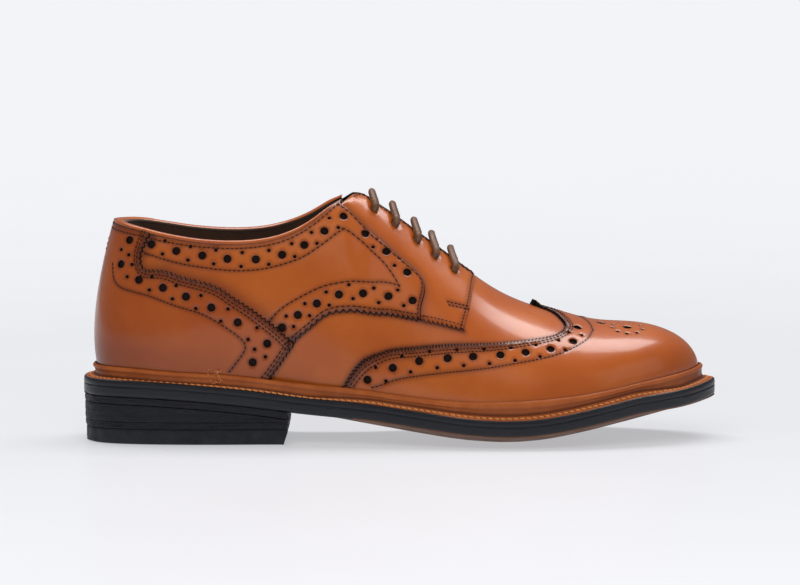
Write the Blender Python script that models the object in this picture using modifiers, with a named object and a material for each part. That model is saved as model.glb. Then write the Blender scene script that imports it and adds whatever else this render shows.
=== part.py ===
"""A right-foot full-brogue derby shoe in leather with a storm welt, laid out in its own pieces.

Frame: +X runs from heel to toe, +Y to the medial side, +Z up.  The origin is under the middle
of the outsole, on the ground.  Tables are in millimetres from the back of the outsole and
are turned into metres of that frame when points are made.

The upper is built on one surface, the last.  A loop parameter t runs from the back of the heel
(t = 0) along the lateral side to the toe tip (t = TIP) and back along the medial side
(t = 2 * TIP).  A second parameter v runs up each column, from the feather edge (v = 0) to the
topline or the ridge of the instep (v = 1).  Each leather piece is a trimmed patch of the last
at its own level, so pieces that lie on each other never cross.
"""
import math

import bmesh
import bpy
import numpy as np
from mathutils import Vector, geometry

MM = 0.001

# ---------------------------------------------------------------- driving dimensions (mm)
SOLE_LENGTH = 305.0
CENTRE_X = SOLE_LENGTH / 2.0
OUTSOLE_THICK = 5.0
SEAM_GAP = 0.3              # clearance between pieces that touch
BUTT_GAP = 0.5              # clearance between pieces that meet edge to edge
HEEL_BREAST = 99.0
HEEL_HALF = 35.0            # half width of the heel
TOP_PIECE_THICK = 7.3
LIFT_THICK = 3.0
CAMBER = 2.0                # rise of the forepart's edges above its middle
CAMBER_START = 120.0
CAMBER_RUN = 50.0
CAMBER_LIMIT = 1.3
SOLE_HALF = 50.0
TOE_SLOPE = 0.06            # fall of the last over the toe
LACE_RADIUS = 1.5
LACE_OVER = 3.3             # level of the lace's middle where it crosses outside
LACE_UNDER = -3.65          # and where it runs inside
EYELET_BORE = 5.4
EYELET_OUTER = 4.8
EYELET_INNER = 3.7
FACING_GAP = 6.0            # from the ridge to the facing's edge
TONGUE_ROOT_X = 186.4
TONGUE_ROOT_LEVEL = -3.5
TONGUE_TOP_STATION = 8.6
TONGUE_EXTRA = 22.0         # length above the last station it follows
TONGUE_HALF = 21.0          # half width along the curve
TONGUE_ROOT_HALF = 15.0
TONGUE_DIP = 5.0            # length over which it drops away below the laces
RIB_HEIGHT = 3.0
AGLET_LENGTH = 16.0
NAIL_SPOTS = ((27.0, -12.5), (27.0, 12.5), (64.0, -16.0), (64.0, 16.0))
COLLAR_RISE = 3.0           # medial topline above the lateral one

# Outer level and thickness of each layer, measured from the vamp's outer face.
VAMP = (0.0, 1.2)
QUARTER = (1.45, 1.1)
COUNTER = (2.9, 1.1)
STIFF = (-0.1, 0.8)
LINING = (-1.6, 1.0)
TONGUE = (-6.6, 1.2)
TONGUE_LINING = (-8.15, 1.0)

# Feather edge: x, lateral y, medial y, height of the welt lip, depth from lip to feather.
FEATHER = (
    (10.2, 0.0, 0.0, 36.7, 4.8),
    (13.5, -14.5, 14.0, 36.5, 4.8),
    (24.0, -23.0, 22.5, 36.2, 4.8),
    (44.0, -27.5, 27.0, 34.7, 4.8),
    (68.0, -28.5, 27.0, 33.2, 4.8),
    (92.0, -28.5, 25.0, 30.6, 5.0),
    (112.0, -30.5, 23.5, 27.9, 5.5),
    (130.0, -33.5, 24.0, 25.6, 6.0),
    (146.0, -37.0, 26.5, 23.4, 6.4),
    (162.0, -41.5, 31.0, 21.7, 6.7),
    (180.0, -45.0, 37.5, 20.3, 7.1),
    (200.0, -47.5, 43.5, 20.3, 7.4),
    (220.0, -46.5, 47.0, 21.3, 7.3),
    (240.0, -42.0, 46.0, 23.5, 7.0),
    (258.0, -34.5, 41.0, 26.8, 6.6),
    (275.5, -24.0, 33.0, 30.5, 6.3),
    (289.0, -11.0, 22.0, 33.6, 6.2),
    (295.5, 5.5, 5.5, 35.3, 6.2),
)

# Wall above the feather: lateral bulge, medial bulge, rise of the lower control point.
WALL = (
    (6.0, 6.0, 20.0), (5.5, 5.5, 20.5), (5.5, 5.5, 21.0), (5.0, 5.0, 23.0), (4.5, 5.0, 25.0),
    (4.5, 7.0, 28.0), (4.5, 9.5, 32.0), (5.5, 11.5, 36.0), (6.0, 12.0, 37.0), (6.0, 11.5, 34.0),
    (6.5, 9.5, 30.0), (7.0, 8.0, 27.0), (7.0, 7.0, 24.5), (6.5, 6.5, 23.0), (6.0, 6.0, 21.0),
    (5.5, 5.5, 19.0), (4.0, 4.0, 17.0), (2.5, 2.5, 15.0),
)

# Topline, then ridge: x, half width of the opening, z, reach of the upper control point
# (lateral, medial), its drop, and the column's turn from straight across, in degrees.
CROWN = (
    (17.2, 0.0, 104.8, 6.7, 6.7, 24.8, -90.0),
    (20.0, 9.5, 103.8, 6.2, 6.2, 25.0, -55.0),
    (28.5, 17.5, 101.7, 5.6, 5.6, 24.0, -25.0),
    (46.0, 23.0, 98.0, 5.0, 5.0, 22.0, -6.0),
    (68.0, 26.5, 95.8, 5.0, 5.0, 20.0, 0.0),
    (91.0, 26.8, 97.5, 6.0, 6.0, 20.0, 0.0),
    (110.0, 22.5, 105.5, 9.0, 9.0, 18.0, 0.0),
    (124.5, 13.0, 115.5, 14.0, 13.0, 10.0, 0.0),
    (138.0, 0.0, 115.8, 19.0, 18.0, 0.0, 0.0),
    (155.0, 0.0, 104.3, 21.0, 20.0, 0.0, 0.0),
    (176.0, 0.0, 88.2, 23.0, 22.0, 0.0, 0.0),
    (200.0, 0.0, 71.0, 26.0, 26.0, 0.0, 0.0),
    (224.0, 0.0, 61.4, 27.0, 29.0, 0.0, 0.0),
    (243.0, 0.0, 56.0, 26.0, 29.0, 0.0, 6.0),
    (254.5, 0.0, 54.8, 25.0, 27.0, 0.0, 24.0),
    (259.8, 0.0, 54.6, 23.5, 25.0, 0.0, 46.0),
    (261.6, 0.0, 54.5, 21.5, 22.0, 0.0, 68.0),
    (262.0, 0.0, 54.5, 20.5, 20.5, 0.0, 90.0),
)
RIDGE_START = 8
TOE_SWING = 4.5             # how far the toe's centre line lies to the medial side

# Level of the welt's lip by station: outside the counter at the heel, outside the vamp in front.
LIP_LEVEL = ((0.0, 3.25), (5.0, 3.25), (6.5, 1.8), (17.0, 1.8))

# Edge of the outsole: x, lateral y, medial y.
SOLE_EDGE = (
    (0.0, 0.0, 0.0), (4.0, -19.5, 19.0), (18.0, -30.5, 30.0), (42.0, -35.0, 34.5),
    (68.0, -35.5, 33.5), (92.0, -34.5, 30.5), (112.0, -36.0, 28.5), (130.0, -38.8, 28.5),
    (146.0, -42.5, 31.0), (162.0, -47.3, 36.5), (180.0, -51.8, 43.5), (201.0, -54.0, 50.0),
    (222.0, -52.8, 53.8), (243.5, -47.5, 52.0), (263.0, -39.0, 46.5), (282.5, -27.5, 37.0),
    (297.5, -12.5, 24.5), (305.0, 6.0, 6.0),
)

# Bottom of the outsole along its middle: x, z.
SOLE_PROFILE = (
    (0.0, 22.6), (24.0, 22.3), (44.0, 21.3), (68.0, 19.3), (92.0, 16.5), (112.0, 13.4),
    (130.0, 10.2), (146.0, 7.2), (162.0, 4.3), (180.0, 1.5), (196.0, 0.15), (206.0, 0.0),
    (220.0, 1.0), (240.0, 4.6), (258.0, 8.8), (275.0, 13.0), (290.0, 16.9), (305.0, 20.5),
)

# Pattern lines of the lateral side seen square from the side: x, z.
ARCH = ((183.4, 55.4), (174.7, 57.8), (162.2, 60.3), (150.1, 62.2), (137.5, 63.5),
        (128.4, 64.0), (122.1, 63.3), (116.3, 61.4), (110.0, 57.4), (104.2, 52.1), (98.0, 45.5))
SEAM = ((123.5, 113.5), (136.0, 103.4), (150.0, 90.8), (163.6, 79.0))
SEAM_FOOT = ((164.1, 74.9), (162.2, 66.8))
FACING_NOSE = ((188.0, 77.0), (187.7, 72.2), (185.8, 64.8))
FLAP_FOOT = ((163.6, 79.0), (171.0, 72.0), (178.0, 67.4), (185.6, 65.6))
COUNTER_TOP = ((29.2, 95.6), (26.5, 88.3), (28.5, 84.6), (36.7, 82.6), (45.4, 79.9),
               (55.5, 77.6), (65.6, 73.5), (72.4, 70.1), (79.1, 65.3), (85.9, 60.6),
               (92.7, 55.2), (100.4, 47.4), (97.0, 41.5), (92.2, 35.0))
VAMP_REAR = ((185.6, 77.0), (183.0, 70.5), (175.0, 67.4), (162.0, 69.5), (150.0, 71.2),
             (130.0, 73.0), (114.0, 70.5), (100.0, 61.0), (91.5, 49.0), (86.5, 38.0))
CAP_EDGE = ((130.8, 33.0), (139.0, 39.4), (151.5, 43.9), (166.5, 46.2), (187.2, 48.3),
            (208.0, 50.5), (224.9, 52.8))
CAP_VALLEY = (233.0, 54.2)
CAP_PEAK_X = 216.5
EYELETS = ((178.6, 82.3), (169.4, 89.0), (160.8, 96.2), (150.3, 104.0), (140.4, 111.2))
STIFFENER_TOP = ((30.0, 78.0), (48.0, 72.0), (66.0, 60.0), (76.0, 46.0))
HINGE_TOP = (122.6, 114.0)
HINGE_FOOT = (179.0, 65.5)
HINGE_LEVEL = 2.5
TONGUE_HINGE_DROP = 2.5
VAMP_FRONT = 13.5
PUFF_REAR = 13.7

BACK_SEAM = 0.05            # loop parameter of the quarters' edge at the back

TIP = len(FEATHER) - 1
LOOP = 2 * TIP

# Lines of the shared facet grid.
T_STEP = 0.5
WELD = 0.25                 # facet corners nearer than this are joined
V_LINES = (0.0, 0.14, 0.32, 0.5, 0.68, 0.85, 1.0)

COLOURS = {
    "leather": ((0.33, 0.079, 0.021), 0.34, 0.0),
    "leather_dark": ((0.19, 0.045, 0.014), 0.38, 0.0),
    "welt_leather": ((0.36, 0.11, 0.03), 0.5, 0.0),
    "edge_black": ((0.013, 0.014, 0.02), 0.4, 0.0),
    "rubber": ((0.014, 0.014, 0.016), 0.6, 0.0),
    "lining": ((0.06, 0.025, 0.012), 0.6, 0.0),
    "veg_leather": ((0.48, 0.27, 0.14), 0.6, 0.0),
    "cork": ((0.35, 0.2, 0.1), 0.9, 0.0),
    "stiffener": ((0.5, 0.4, 0.28), 0.8, 0.0),
    "steel": ((0.5, 0.5, 0.5), 0.3, 1.0),
    "brass": ((0.6, 0.42, 0.16), 0.3, 1.0),
    "lace": ((0.17, 0.093, 0.07), 0.7, 0.0),
    "aglet": ((0.05, 0.03, 0.02), 0.3, 0.0),
}


# ---------------------------------------------------------------- splines
def loop_spline(values):
    """Second derivatives of the periodic cubic spline through values at 0, 1, 2, ..."""
    values = np.asarray(values, float)
    count = len(values)
    matrix = np.zeros((count, count))
    for i in range(count):
        matrix[i, i] = 4.0
        matrix[i, (i + 1) % count] = 1.0
        matrix[i, i - 1] = 1.0
    right = 6.0 * (np.roll(values, -1, 0) - 2.0 * values + np.roll(values, 1, 0))
    return values, np.linalg.solve(matrix, right)


def loop_value(spline, t):
    """Value of a periodic cubic spline at t."""
    values, second = spline
    count = len(values)
    cell = np.floor(t).astype(int)
    b = t - cell
    a = 1.0 - b
    i = cell % count
    j = (cell + 1) % count
    if values.ndim == 2:
        a = a[:, None]
        b = b[:, None]
    curve = ((a ** 3 - a) * second[i] + (b ** 3 - b) * second[j]) / 6.0
    return a * values[i] + b * values[j] + curve


def two_sided(lateral, medial):
    """Loop spline of a quantity given along the lateral and the medial side."""
    return loop_spline(list(lateral) + list(medial[-2:0:-1]))


def monotone(xs, ys, x):
    """Cubic through the points that keeps to their rises and falls (flat at both ends)."""
    xs = np.asarray(xs, float)
    ys = np.asarray(ys, float)
    step = np.diff(xs)
    slope = np.diff(ys) / step
    tangent = np.zeros(len(xs))
    for i in range(1, len(xs) - 1):
        if slope[i - 1] * slope[i] > 0.0:
            tangent[i] = 2.0 * slope[i - 1] * slope[i] / (slope[i - 1] + slope[i])
    i = np.clip(np.searchsorted(xs, x, side="right") - 1, 0, len(xs) - 2)
    f = (np.clip(x, xs[0], xs[-1]) - xs[i]) / step[i]
    rise = ys[i + 1] - ys[i]
    left = tangent[i] * step[i]
    right = tangent[i + 1] * step[i]
    return ys[i] + f * (left + f * (3.0 * rise - 2.0 * left - right + f * (left + right - 2.0 * rise)))


def column(table, index):
    """One column of a station table."""
    return [row[index] for row in table]


# ---------------------------------------------------------------- the last
FEATHER_Z = [row[3] - row[4] for row in FEATHER]
SPLINE_FX = two_sided(column(FEATHER, 0), column(FEATHER, 0))
SPLINE_FY = two_sided(column(FEATHER, 1), column(FEATHER, 2))
SPLINE_FZ = two_sided(FEATHER_Z, FEATHER_Z)
SPLINE_LIP = two_sided(column(FEATHER, 3), column(FEATHER, 3))
SPLINE_BULGE = two_sided(column(WALL, 0), column(WALL, 1))
SPLINE_RISE = two_sided(column(WALL, 2), column(WALL, 2))
SPLINE_CX = two_sided(column(CROWN, 0), column(CROWN, 0))
SPLINE_CZ = two_sided(column(CROWN, 2), column(CROWN, 2))
SPLINE_REACH = two_sided(column(CROWN, 3), column(CROWN, 4))
SPLINE_EX = two_sided(column(SOLE_EDGE, 0), column(SOLE_EDGE, 0))
SPLINE_EY = two_sided(column(SOLE_EDGE, 1), column(SOLE_EDGE, 2))
STATIONS = np.arange(TIP + 1.0)


def fold(t):
    """Station along one side, and that side's sign, of loop parameters."""
    t = np.mod(np.asarray(t, float), LOOP)
    side = np.where(t <= TIP, -1.0, 1.0)
    return np.where(t <= TIP, t, LOOP - t), side, t


def centre_swing(x):
    """Medial shift of the last's centre line at x."""
    f = np.clip((x - 170.0) / 92.0, 0.0, 1.0)
    return TOE_SWING * f * f * (3.0 - 2.0 * f)


def feather_point(t):
    """Feather edge of the last."""
    t = np.atleast_1d(np.mod(t, LOOP))
    return np.stack([loop_value(SPLINE_FX, t), loop_value(SPLINE_FY, t), loop_value(SPLINE_FZ, t)], 1)


def last_point(t, v):
    """Points of the last at loop parameters t and heights v."""
    s, side, t = fold(t)
    v = np.asarray(v, float)[:, None]
    fan = np.radians(monotone(STATIONS, column(CROWN, 6), s))
    out = np.stack([np.sin(fan), side * np.cos(fan), -TOE_SLOPE * np.maximum(np.sin(fan), 0.0)], 1)
    flat = out * np.array([1.0, 1.0, 0.0])
    foot = feather_point(t)
    low = foot + flat * loop_value(SPLINE_BULGE, t)[:, None]
    low[:, 2] += loop_value(SPLINE_RISE, t)
    crown_x = loop_value(SPLINE_CX, t)
    half = monotone(STATIONS, column(CROWN, 1), s)
    collar = np.clip(s / 3.0, 0.0, 1.0) * np.clip((RIDGE_START - s) / 3.0, 0.0, 1.0)
    raise_z = np.where(side > 0.0, COLLAR_RISE * collar ** 2 * (3.0 - 2.0 * collar), 0.0)
    crown = np.stack([crown_x, centre_swing(crown_x) + side * half,
                      loop_value(SPLINE_CZ, t) + raise_z], 1)
    high = crown + out * loop_value(SPLINE_REACH, t)[:, None]
    high[:, 2] -= monotone(STATIONS, column(CROWN, 5), s)
    w = 1.0 - v
    return w ** 3 * foot + 3.0 * w * w * v * low + 3.0 * w * v * v * high + v ** 3 * crown


def last_normal(t, v):
    """Outward unit normals of the last."""
    t = np.asarray(t, float)
    v = np.clip(np.asarray(v, float), 0.0, 0.995)
    step = 0.01
    along = last_point(t + step, v) - last_point(t - step, v)
    up = last_point(t, v + 0.004) - last_point(t, v - 0.004)
    normal = np.cross(along, up)
    return normal / np.linalg.norm(normal, axis=1)[:, None]


def on_last(t, v, level):
    """Points at a level over the last, in table millimetres."""
    t = np.atleast_1d(np.asarray(t, float))
    v = np.atleast_1d(np.asarray(v, float))
    return last_point(t, v) + last_normal(t, v) * np.broadcast_to(level, t.shape)[:, None]


def to_frame(points):
    """Table millimetres to metres of the shoe's frame."""
    return (np.asarray(points, float) - np.array([CENTRE_X, 0.0, 0.0])) * MM


def seen_at(x, z, level=1.0):
    """Loop parameter and height of the lateral point that a side view shows at x, z."""
    grid_t, grid_v = np.meshgrid(np.arange(0.25, TIP, 0.25), np.arange(0.05, 1.0, 0.05))
    grid = on_last(grid_t.ravel(), grid_v.ravel(), level)
    best = np.argmin((grid[:, 0] - x) ** 2 + (grid[:, 2] - z) ** 2)
    t, v = grid_t.ravel()[best], grid_v.ravel()[best]
    for _ in range(12):
        here = on_last(t, v, level)[0]
        dt = (on_last(t + 0.01, v, level)[0] - here) / 0.01
        dv = (on_last(t, v + 0.001, level)[0] - here) / 0.001
        jacobian = np.array([[dt[0], dv[0]], [dt[2], dv[2]]])
        move = np.linalg.solve(jacobian, np.array([x - here[0], z - here[2]]))
        t += float(np.clip(move[0], -0.5, 0.5))
        v = float(np.clip(v + np.clip(move[1], -0.1, 0.1), 0.0, 1.0))
    return t, v


def seen(line, level=1.0):
    """Loop parameters of a side-view line."""
    return [seen_at(x, z, level) for x, z in line]


def crown_at(x, first=0.0, last=float(TIP)):
    """Parameter at which the topline or ridge passes x."""
    ts = np.linspace(first, last, 1200)
    return float(ts[np.argmin(np.abs(loop_value(SPLINE_CX, ts) - x))])


def foot_at(x):
    """Parameter at which the feather edge passes x."""
    ts = np.linspace(0.0, float(TIP), 1200)
    return float(ts[np.argmin(np.abs(loop_value(SPLINE_FX, ts) - x))])


def facing_edge(t):
    """Height of the facing's edge beside the ridge."""
    reach = loop_value(SPLINE_REACH, np.atleast_1d(np.mod(t, LOOP)))[0]
    return 1.0 - FACING_GAP / (3.0 * reach)


def mirrored(outline):
    """The medial twin of a lateral outline."""
    return [(LOOP - t, v) for t, v in reversed(outline)]


# ---------------------------------------------------------------- scene helpers
def clear_scene():
    """Remove what the file opened with."""
    for item in list(bpy.data.objects):
        bpy.data.objects.remove(item, do_unlink=True)


def make_collection(name):
    """A collection linked to the scene."""
    group = bpy.data.collections.new(name)
    bpy.context.scene.collection.children.link(group)
    return group


def material(name):
    """Principled material of one kind of stuff."""
    found = bpy.data.materials.get(name)
    if found:
        return found
    colour, roughness, metallic = COLOURS[name]
    made = bpy.data.materials.new(name)
    made.use_nodes = True
    shader = made.node_tree.nodes["Principled BSDF"]
    shader.inputs["Base Color"].default_value = (*colour, 1.0)
    shader.inputs["Roughness"].default_value = roughness
    shader.inputs["Metallic"].default_value = metallic
    made.diffuse_color = (*colour, 1.0)
    return made


def add_object(name, mesh, stuff, group):
    """Link a mesh as a named object with its material."""
    made = bpy.data.objects.new(name, mesh)
    group.objects.link(made)
    mesh.materials.append(material(stuff))
    return made


def mesh_from(name, points, faces, weld=0.0):
    """Mesh of points in table millimetres, welded where asked, faces made consistent."""
    shape = bmesh.new()
    verts = [shape.verts.new(p) for p in to_frame(points)]
    for face in faces:
        shape.faces.new([verts[i] for i in face])
    if weld:
        bmesh.ops.remove_doubles(shape, verts=shape.verts, dist=weld * MM)
        bmesh.ops.dissolve_degenerate(shape, edges=shape.edges, dist=0.02 * MM)
    loose = [v for v in shape.verts if not v.link_faces]
    bmesh.ops.delete(shape, geom=loose, context="VERTS")
    mesh = bpy.data.meshes.new(name)
    shape.to_mesh(mesh)
    shape.free()
    return mesh


def closed_mesh(name, points, faces):
    """Mesh of a closed body with its faces turned outward."""
    mesh = mesh_from(name, points, faces)
    shape = bmesh.new()
    shape.from_mesh(mesh)
    bmesh.ops.recalc_face_normals(shape, faces=shape.faces)
    shape.to_mesh(mesh)
    shape.free()
    return mesh


# ---------------------------------------------------------------- trimmed patches of the last
def inside(point, outline):
    """Whether a point lies in a closed outline."""
    x, y = point
    hit = False
    for (ax, ay), (bx, by) in zip(outline, outline[1:] + outline[:1]):
        if (ay > y) != (by > y) and x < (bx - ax) * (y - ay) / (by - ay) + ax:
            hit = not hit
    return hit


def patch(name, outlines, layer, stuff, group):
    """A leather piece: the shared facet grid trimmed by outlines and thickened inward."""
    stretch = 10.0
    spots = [p for outline in outlines for p in outline]
    t_low = math.floor(min(p[0] for p in spots) / T_STEP)
    t_high = math.ceil(max(p[0] for p in spots) / T_STEP)
    columns = t_high - t_low + 1
    rows = len(V_LINES)
    corners = [((t_low + i) * T_STEP, v) for i in range(columns) for v in V_LINES]
    edges = []
    for i in range(columns):
        for j in range(rows):
            k = i * rows + j
            if j + 1 < rows:
                edges.append((k, k + 1))
            if i + 1 < columns:
                edges.append((k, k + rows))
            if i + 1 < columns and j + 1 < rows:
                edges.append((k, k + rows + 1))
    start = len(corners)
    for outline in outlines:
        count = len(outline)
        edges += [(start + i, start + (i + 1) % count) for i in range(count)]
        start += count
    flat = [Vector((t, v * stretch)) for t, v in corners + spots]
    verts, _, faces, _, _, _ = geometry.delaunay_2d_cdt(flat, edges, [], 0, 1e-5)
    scaled = [[(t, v * stretch) for t, v in outline] for outline in outlines]
    kept = []
    for face in faces:
        middle = (sum(verts[i].x for i in face) / 3.0, sum(verts[i].y for i in face) / 3.0)
        if any(inside(middle, outline) for outline in scaled):
            kept.append(tuple(face))
    base = on_last([c[0] for c in corners], [c[1] for c in corners], layer[0])
    lines = np.array(V_LINES)
    points = []
    for p in verts:
        v = p.y / stretch
        i = int(np.clip(math.floor(p.x / T_STEP - t_low + 1e-9), 0, columns - 2))
        j = int(np.clip(np.searchsorted(lines, v, side="right") - 1, 0, rows - 2))
        f = p.x / T_STEP - t_low - i
        g = (v - lines[j]) / (lines[j + 1] - lines[j])
        k = i * rows + j
        if f >= g:
            weights = ((k, 1.0 - f), (k + rows, f - g), (k + rows + 1, g))
        else:
            weights = ((k, 1.0 - g), (k + 1, g - f), (k + rows + 1, f))
        points.append(sum(base[c] * w for c, w in weights))
    mesh = mesh_from(name, points, kept, weld=WELD)
    face_out(mesh)
    made = add_object(name, mesh, stuff, group)
    thicken(made, layer[1])
    return made


def thicken(made, thickness):
    """Give an open sheet its thickness on the foot's side."""
    solid = made.modifiers.new("Thickness", "SOLIDIFY")
    solid.thickness = thickness * MM
    solid.offset = -1.0


def face_out(mesh):
    """Turn an open patch so that its normals leave the foot."""
    shape = bmesh.new()
    shape.from_mesh(mesh)
    bmesh.ops.recalc_face_normals(shape, faces=shape.faces)
    middle = Vector((0.0, 0.0, 0.045))
    vote = sum((f.calc_center_median() - middle).dot(f.normal) * f.calc_area() for f in shape.faces)
    if vote < 0.0:
        bmesh.ops.reverse_faces(shape, faces=shape.faces)
    shape.to_mesh(mesh)
    shape.free()


# ---------------------------------------------------------------- pattern outlines
def quarter_outline(lining):
    """Lateral quarter, or its lining, from the back seam to the facing seam."""
    seam_top = crown_at(SEAM[0][0], 5.0, 8.0)
    back = BACK_SEAM
    if lining:
        foot_line = seen([(x - BUTT_GAP, z + BUTT_GAP) for x, z in VAMP_REAR[:0:-1]])
        return ([(back, 0.0), (foot_at(83.3), 0.0)] + foot_line[:-2]
                + [seen_at(172.0, 69.0)] + seen(SEAM[::-1])[:-1]
                + [(seam_top, 1.0), (back, 1.0)])
    return ([(back, 0.0), (foot_at(83.5), 0.0), seen_at(89.0, 36.0)] + seen(ARCH[::-1])[:-2]
            + [seen_at(161.7, 60.4)] + [seen_at(161.7, 66.8), seen_at(163.4, 74.9)]
            + seen(SEAM[::-1]) + [(seam_top, 1.0), (back, 1.0)])


def flap_outline(lining):
    """Free part of the lateral facing, or its lining."""
    seam_top = crown_at(SEAM[0][0] + BUTT_GAP, 5.0, 8.0)
    shift = BUTT_GAP
    front = 186.0 if not lining else 180.5
    stop = crown_at(front, RIDGE_START, TIP)
    edge = [(t, facing_edge(t)) for t in np.arange(RIDGE_START + 0.5, stop, 0.5)]
    corner = [(7.55, 1.0), (7.9, 0.965), (RIDGE_START + 0.1, facing_edge(RIDGE_START) + 0.02)]
    seam_line = [(x + shift, z + shift * 0.6) for x, z in SEAM]
    rear = seen(seam_line)
    if lining:
        nose = seen(((181.2, 78.0), (179.5, 70.0), (176.5, 70.2), (171.6, 72.6)))
        return [(seam_top, 1.0)] + corner + edge + nose + rear[::-1]
    foot = seen([(x, z + shift) for x, z in FLAP_FOOT[::-1]])[:-1]
    return [(seam_top, 1.0)] + corner + edge + seen(FACING_NOSE[:2]) + foot + rear[::-1]


def stay_outline():
    """Lower end of the lateral facing, stitched down on the vamp."""
    upper = seen(((164.2, 77.8), (171.0, 71.4), (178.0, 66.8), (185.4, 65.0)))
    lower = seen(((183.4, 55.4), (174.7, 57.8), (162.4, 60.3)))
    return upper + lower + seen(((162.4, 66.8), (164.2, 74.9)))


def counter_outline():
    """Heel counter, round the heel from side to side."""
    lateral = seen(COUNTER_TOP, 2.5)
    half = [(crown_at(32.0), 1.0)] + lateral + [(foot_at(88.5), 0.0)]
    medial = [(-t, v) for t, v in reversed(half)]
    return half + medial


def vamp_outline(rear_line, front):
    """Vamp, or its lining, over the ridge from side to side."""
    start = crown_at(187.0, RIDGE_START, TIP)
    lateral = [(start, 1.0)] + seen(rear_line) + [(foot_at(84.5), 0.0)]
    if front is None:
        return lateral + mirrored(lateral)
    lateral_front = [(front, 0.0), (front, 1.0)]
    return lateral + lateral_front


def cap_outline():
    """Wing cap, in the loop parameters of its lateral half."""
    valley = seen_at(*CAP_VALLEY)
    peak = crown_at(CAP_PEAK_X, RIDGE_START, TIP)
    slant = [(valley[0] + (peak - valley[0]) * f, valley[1] + (1.0 - valley[1]) * f)
             for f in (0.35, 0.7)]
    return [(foot_at(122.0), 0.0)] + seen(CAP_EDGE) + [valley] + slant + [(peak, 1.0)]


# ---------------------------------------------------------------- soles, heel and welt
def edge_point(t):
    """Edge of the outsole seen from above: x, y."""
    t = np.atleast_1d(np.mod(t, LOOP))
    return np.stack([loop_value(SPLINE_EX, t), loop_value(SPLINE_EY, t)], 1)


def inset_feather(t, distance):
    """Feather edge moved inward in plan: x, y."""
    t = np.atleast_1d(np.asarray(t, float))
    here = feather_point(t)[:, :2]
    along = feather_point(t + 0.02)[:, :2] - feather_point(t - 0.02)[:, :2]
    along /= np.linalg.norm(along, axis=1)[:, None]
    inward = np.stack([-along[:, 1], along[:, 0]], 1)
    return here + inward * distance


def sole_z(x, y):
    """Bottom of the outsole."""
    x = np.asarray(x, float)
    base = natural(SOLE_PROFILE, x)
    front = np.clip((x - CAMBER_START) / CAMBER_RUN, 0.0, 1.0)
    bow = np.minimum((y / SOLE_HALF) ** 2, CAMBER_LIMIT)
    return base + CAMBER * front * front * (3.0 - 2.0 * front) * bow


def natural(points, x):
    """Smooth natural cubic through a short list of points."""
    xs = np.array(column(points, 0), float)
    ys = np.array(column(points, 1), float)
    step = np.diff(xs)
    count = len(xs)
    matrix = np.eye(count)
    right = np.zeros(count)
    for i in range(1, count - 1):
        matrix[i, i - 1] = step[i - 1]
        matrix[i, i] = 2.0 * (step[i - 1] + step[i])
        matrix[i, i + 1] = step[i]
        right[i] = 6.0 * ((ys[i + 1] - ys[i]) / step[i] - (ys[i] - ys[i - 1]) / step[i - 1])
    second = np.linalg.solve(matrix, right)
    i = np.clip(np.searchsorted(xs, x, side="right") - 1, 0, count - 2)
    h = step[i]
    a = (xs[i + 1] - x) / h
    b = (x - xs[i]) / h
    curve = ((a ** 3 - a) * second[i] + (b ** 3 - b) * second[i + 1]) * h * h / 6.0
    return a * ys[i] + b * ys[i + 1] + curve


def slab(name, lateral, medial, low, high, across, stuff, group):
    """Closed sheet between rows that run from a lateral to a medial outline.

    low and high give the heights of its two faces over x and y.
    """
    rows = []
    bottom = []
    for a, b in zip(lateral, medial):
        single = np.hypot(*(np.asarray(a) - np.asarray(b))) < 1.0
        row = []
        for f in ([0.5] if single else np.linspace(0.0, 1.0, across + 1)):
            row.append(len(bottom))
            bottom.append((a[0] + (b[0] - a[0]) * f, a[1] + (b[1] - a[1]) * f))
        rows.append(row)
    plan = np.array(bottom)
    lower = np.column_stack([plan, low(plan[:, 0], plan[:, 1])])
    upper = np.column_stack([plan, high(plan[:, 0], plan[:, 1])])
    count = len(plan)
    sheet = []
    for first, second in zip(rows, rows[1:]):
        if len(first) == 1:
            sheet += [(first[0], second[k + 1], second[k]) for k in range(len(second) - 1)]
        elif len(second) == 1:
            sheet += [(first[k], first[k + 1], second[0]) for k in range(len(first) - 1)]
        else:
            sheet += [(first[k], first[k + 1], second[k + 1], second[k])
                      for k in range(len(first) - 1)]
    rim = [row[0] for row in rows] + list(rows[-1][1:-1])
    rim += [row[-1] for row in reversed(rows)][(1 if len(rows[-1]) == 1 else 0):]
    rim += list(reversed(rows[0][1:-1]))
    if len(rows[0]) == 1:
        rim = rim[:-1]
    walls = [(rim[i], rim[(i + 1) % len(rim)], rim[(i + 1) % len(rim)] + count, rim[i] + count)
             for i in range(len(rim))]
    faces = sheet + [tuple(i + count for i in reversed(f)) for f in sheet] + walls
    return add_object(name, closed_mesh(name, np.vstack([lower, upper]), faces), stuff, group)


def sole_slab(name, outline, start, end, low, high, stuff, group, across=4):
    """Slab between loop parameters start and end, its faces given over the sole's bottom."""
    ts = np.arange(start, end + 0.01, 0.5)
    return slab(name, outline(ts), outline(LOOP - ts),
                lambda x, y: sole_z(x, y) + low, lambda x, y: sole_z(x, y) + high,
                across, stuff, group)


def heel_rows(inset):
    """Lateral and medial outlines of a heel layer, from its back to the breast."""
    ts = np.linspace(0.0, TIP / 2.0, 400)
    sides = []
    for sign in (1.0, -1.0):
        edge = edge_point(sign * ts)
        stop = int(np.argmax(edge[:, 0] > HEEL_BREAST))
        picks = np.linspace(0, stop, 9).round().astype(int)
        line = edge[picks]
        line[:, 1] *= (HEEL_HALF - inset) / HEEL_HALF
        line[:, 0] += inset * (1.0 - line[:, 0] / HEEL_BREAST)
        line[-1, 0] = HEEL_BREAST
        sides.append(line)
    return sides


def heel_layer(name, low, high, inset, stuff, group):
    """One lift of the heel."""
    lateral, medial = heel_rows(inset)
    return slab(name, lateral, medial, low, high, 4, stuff, group)


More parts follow.
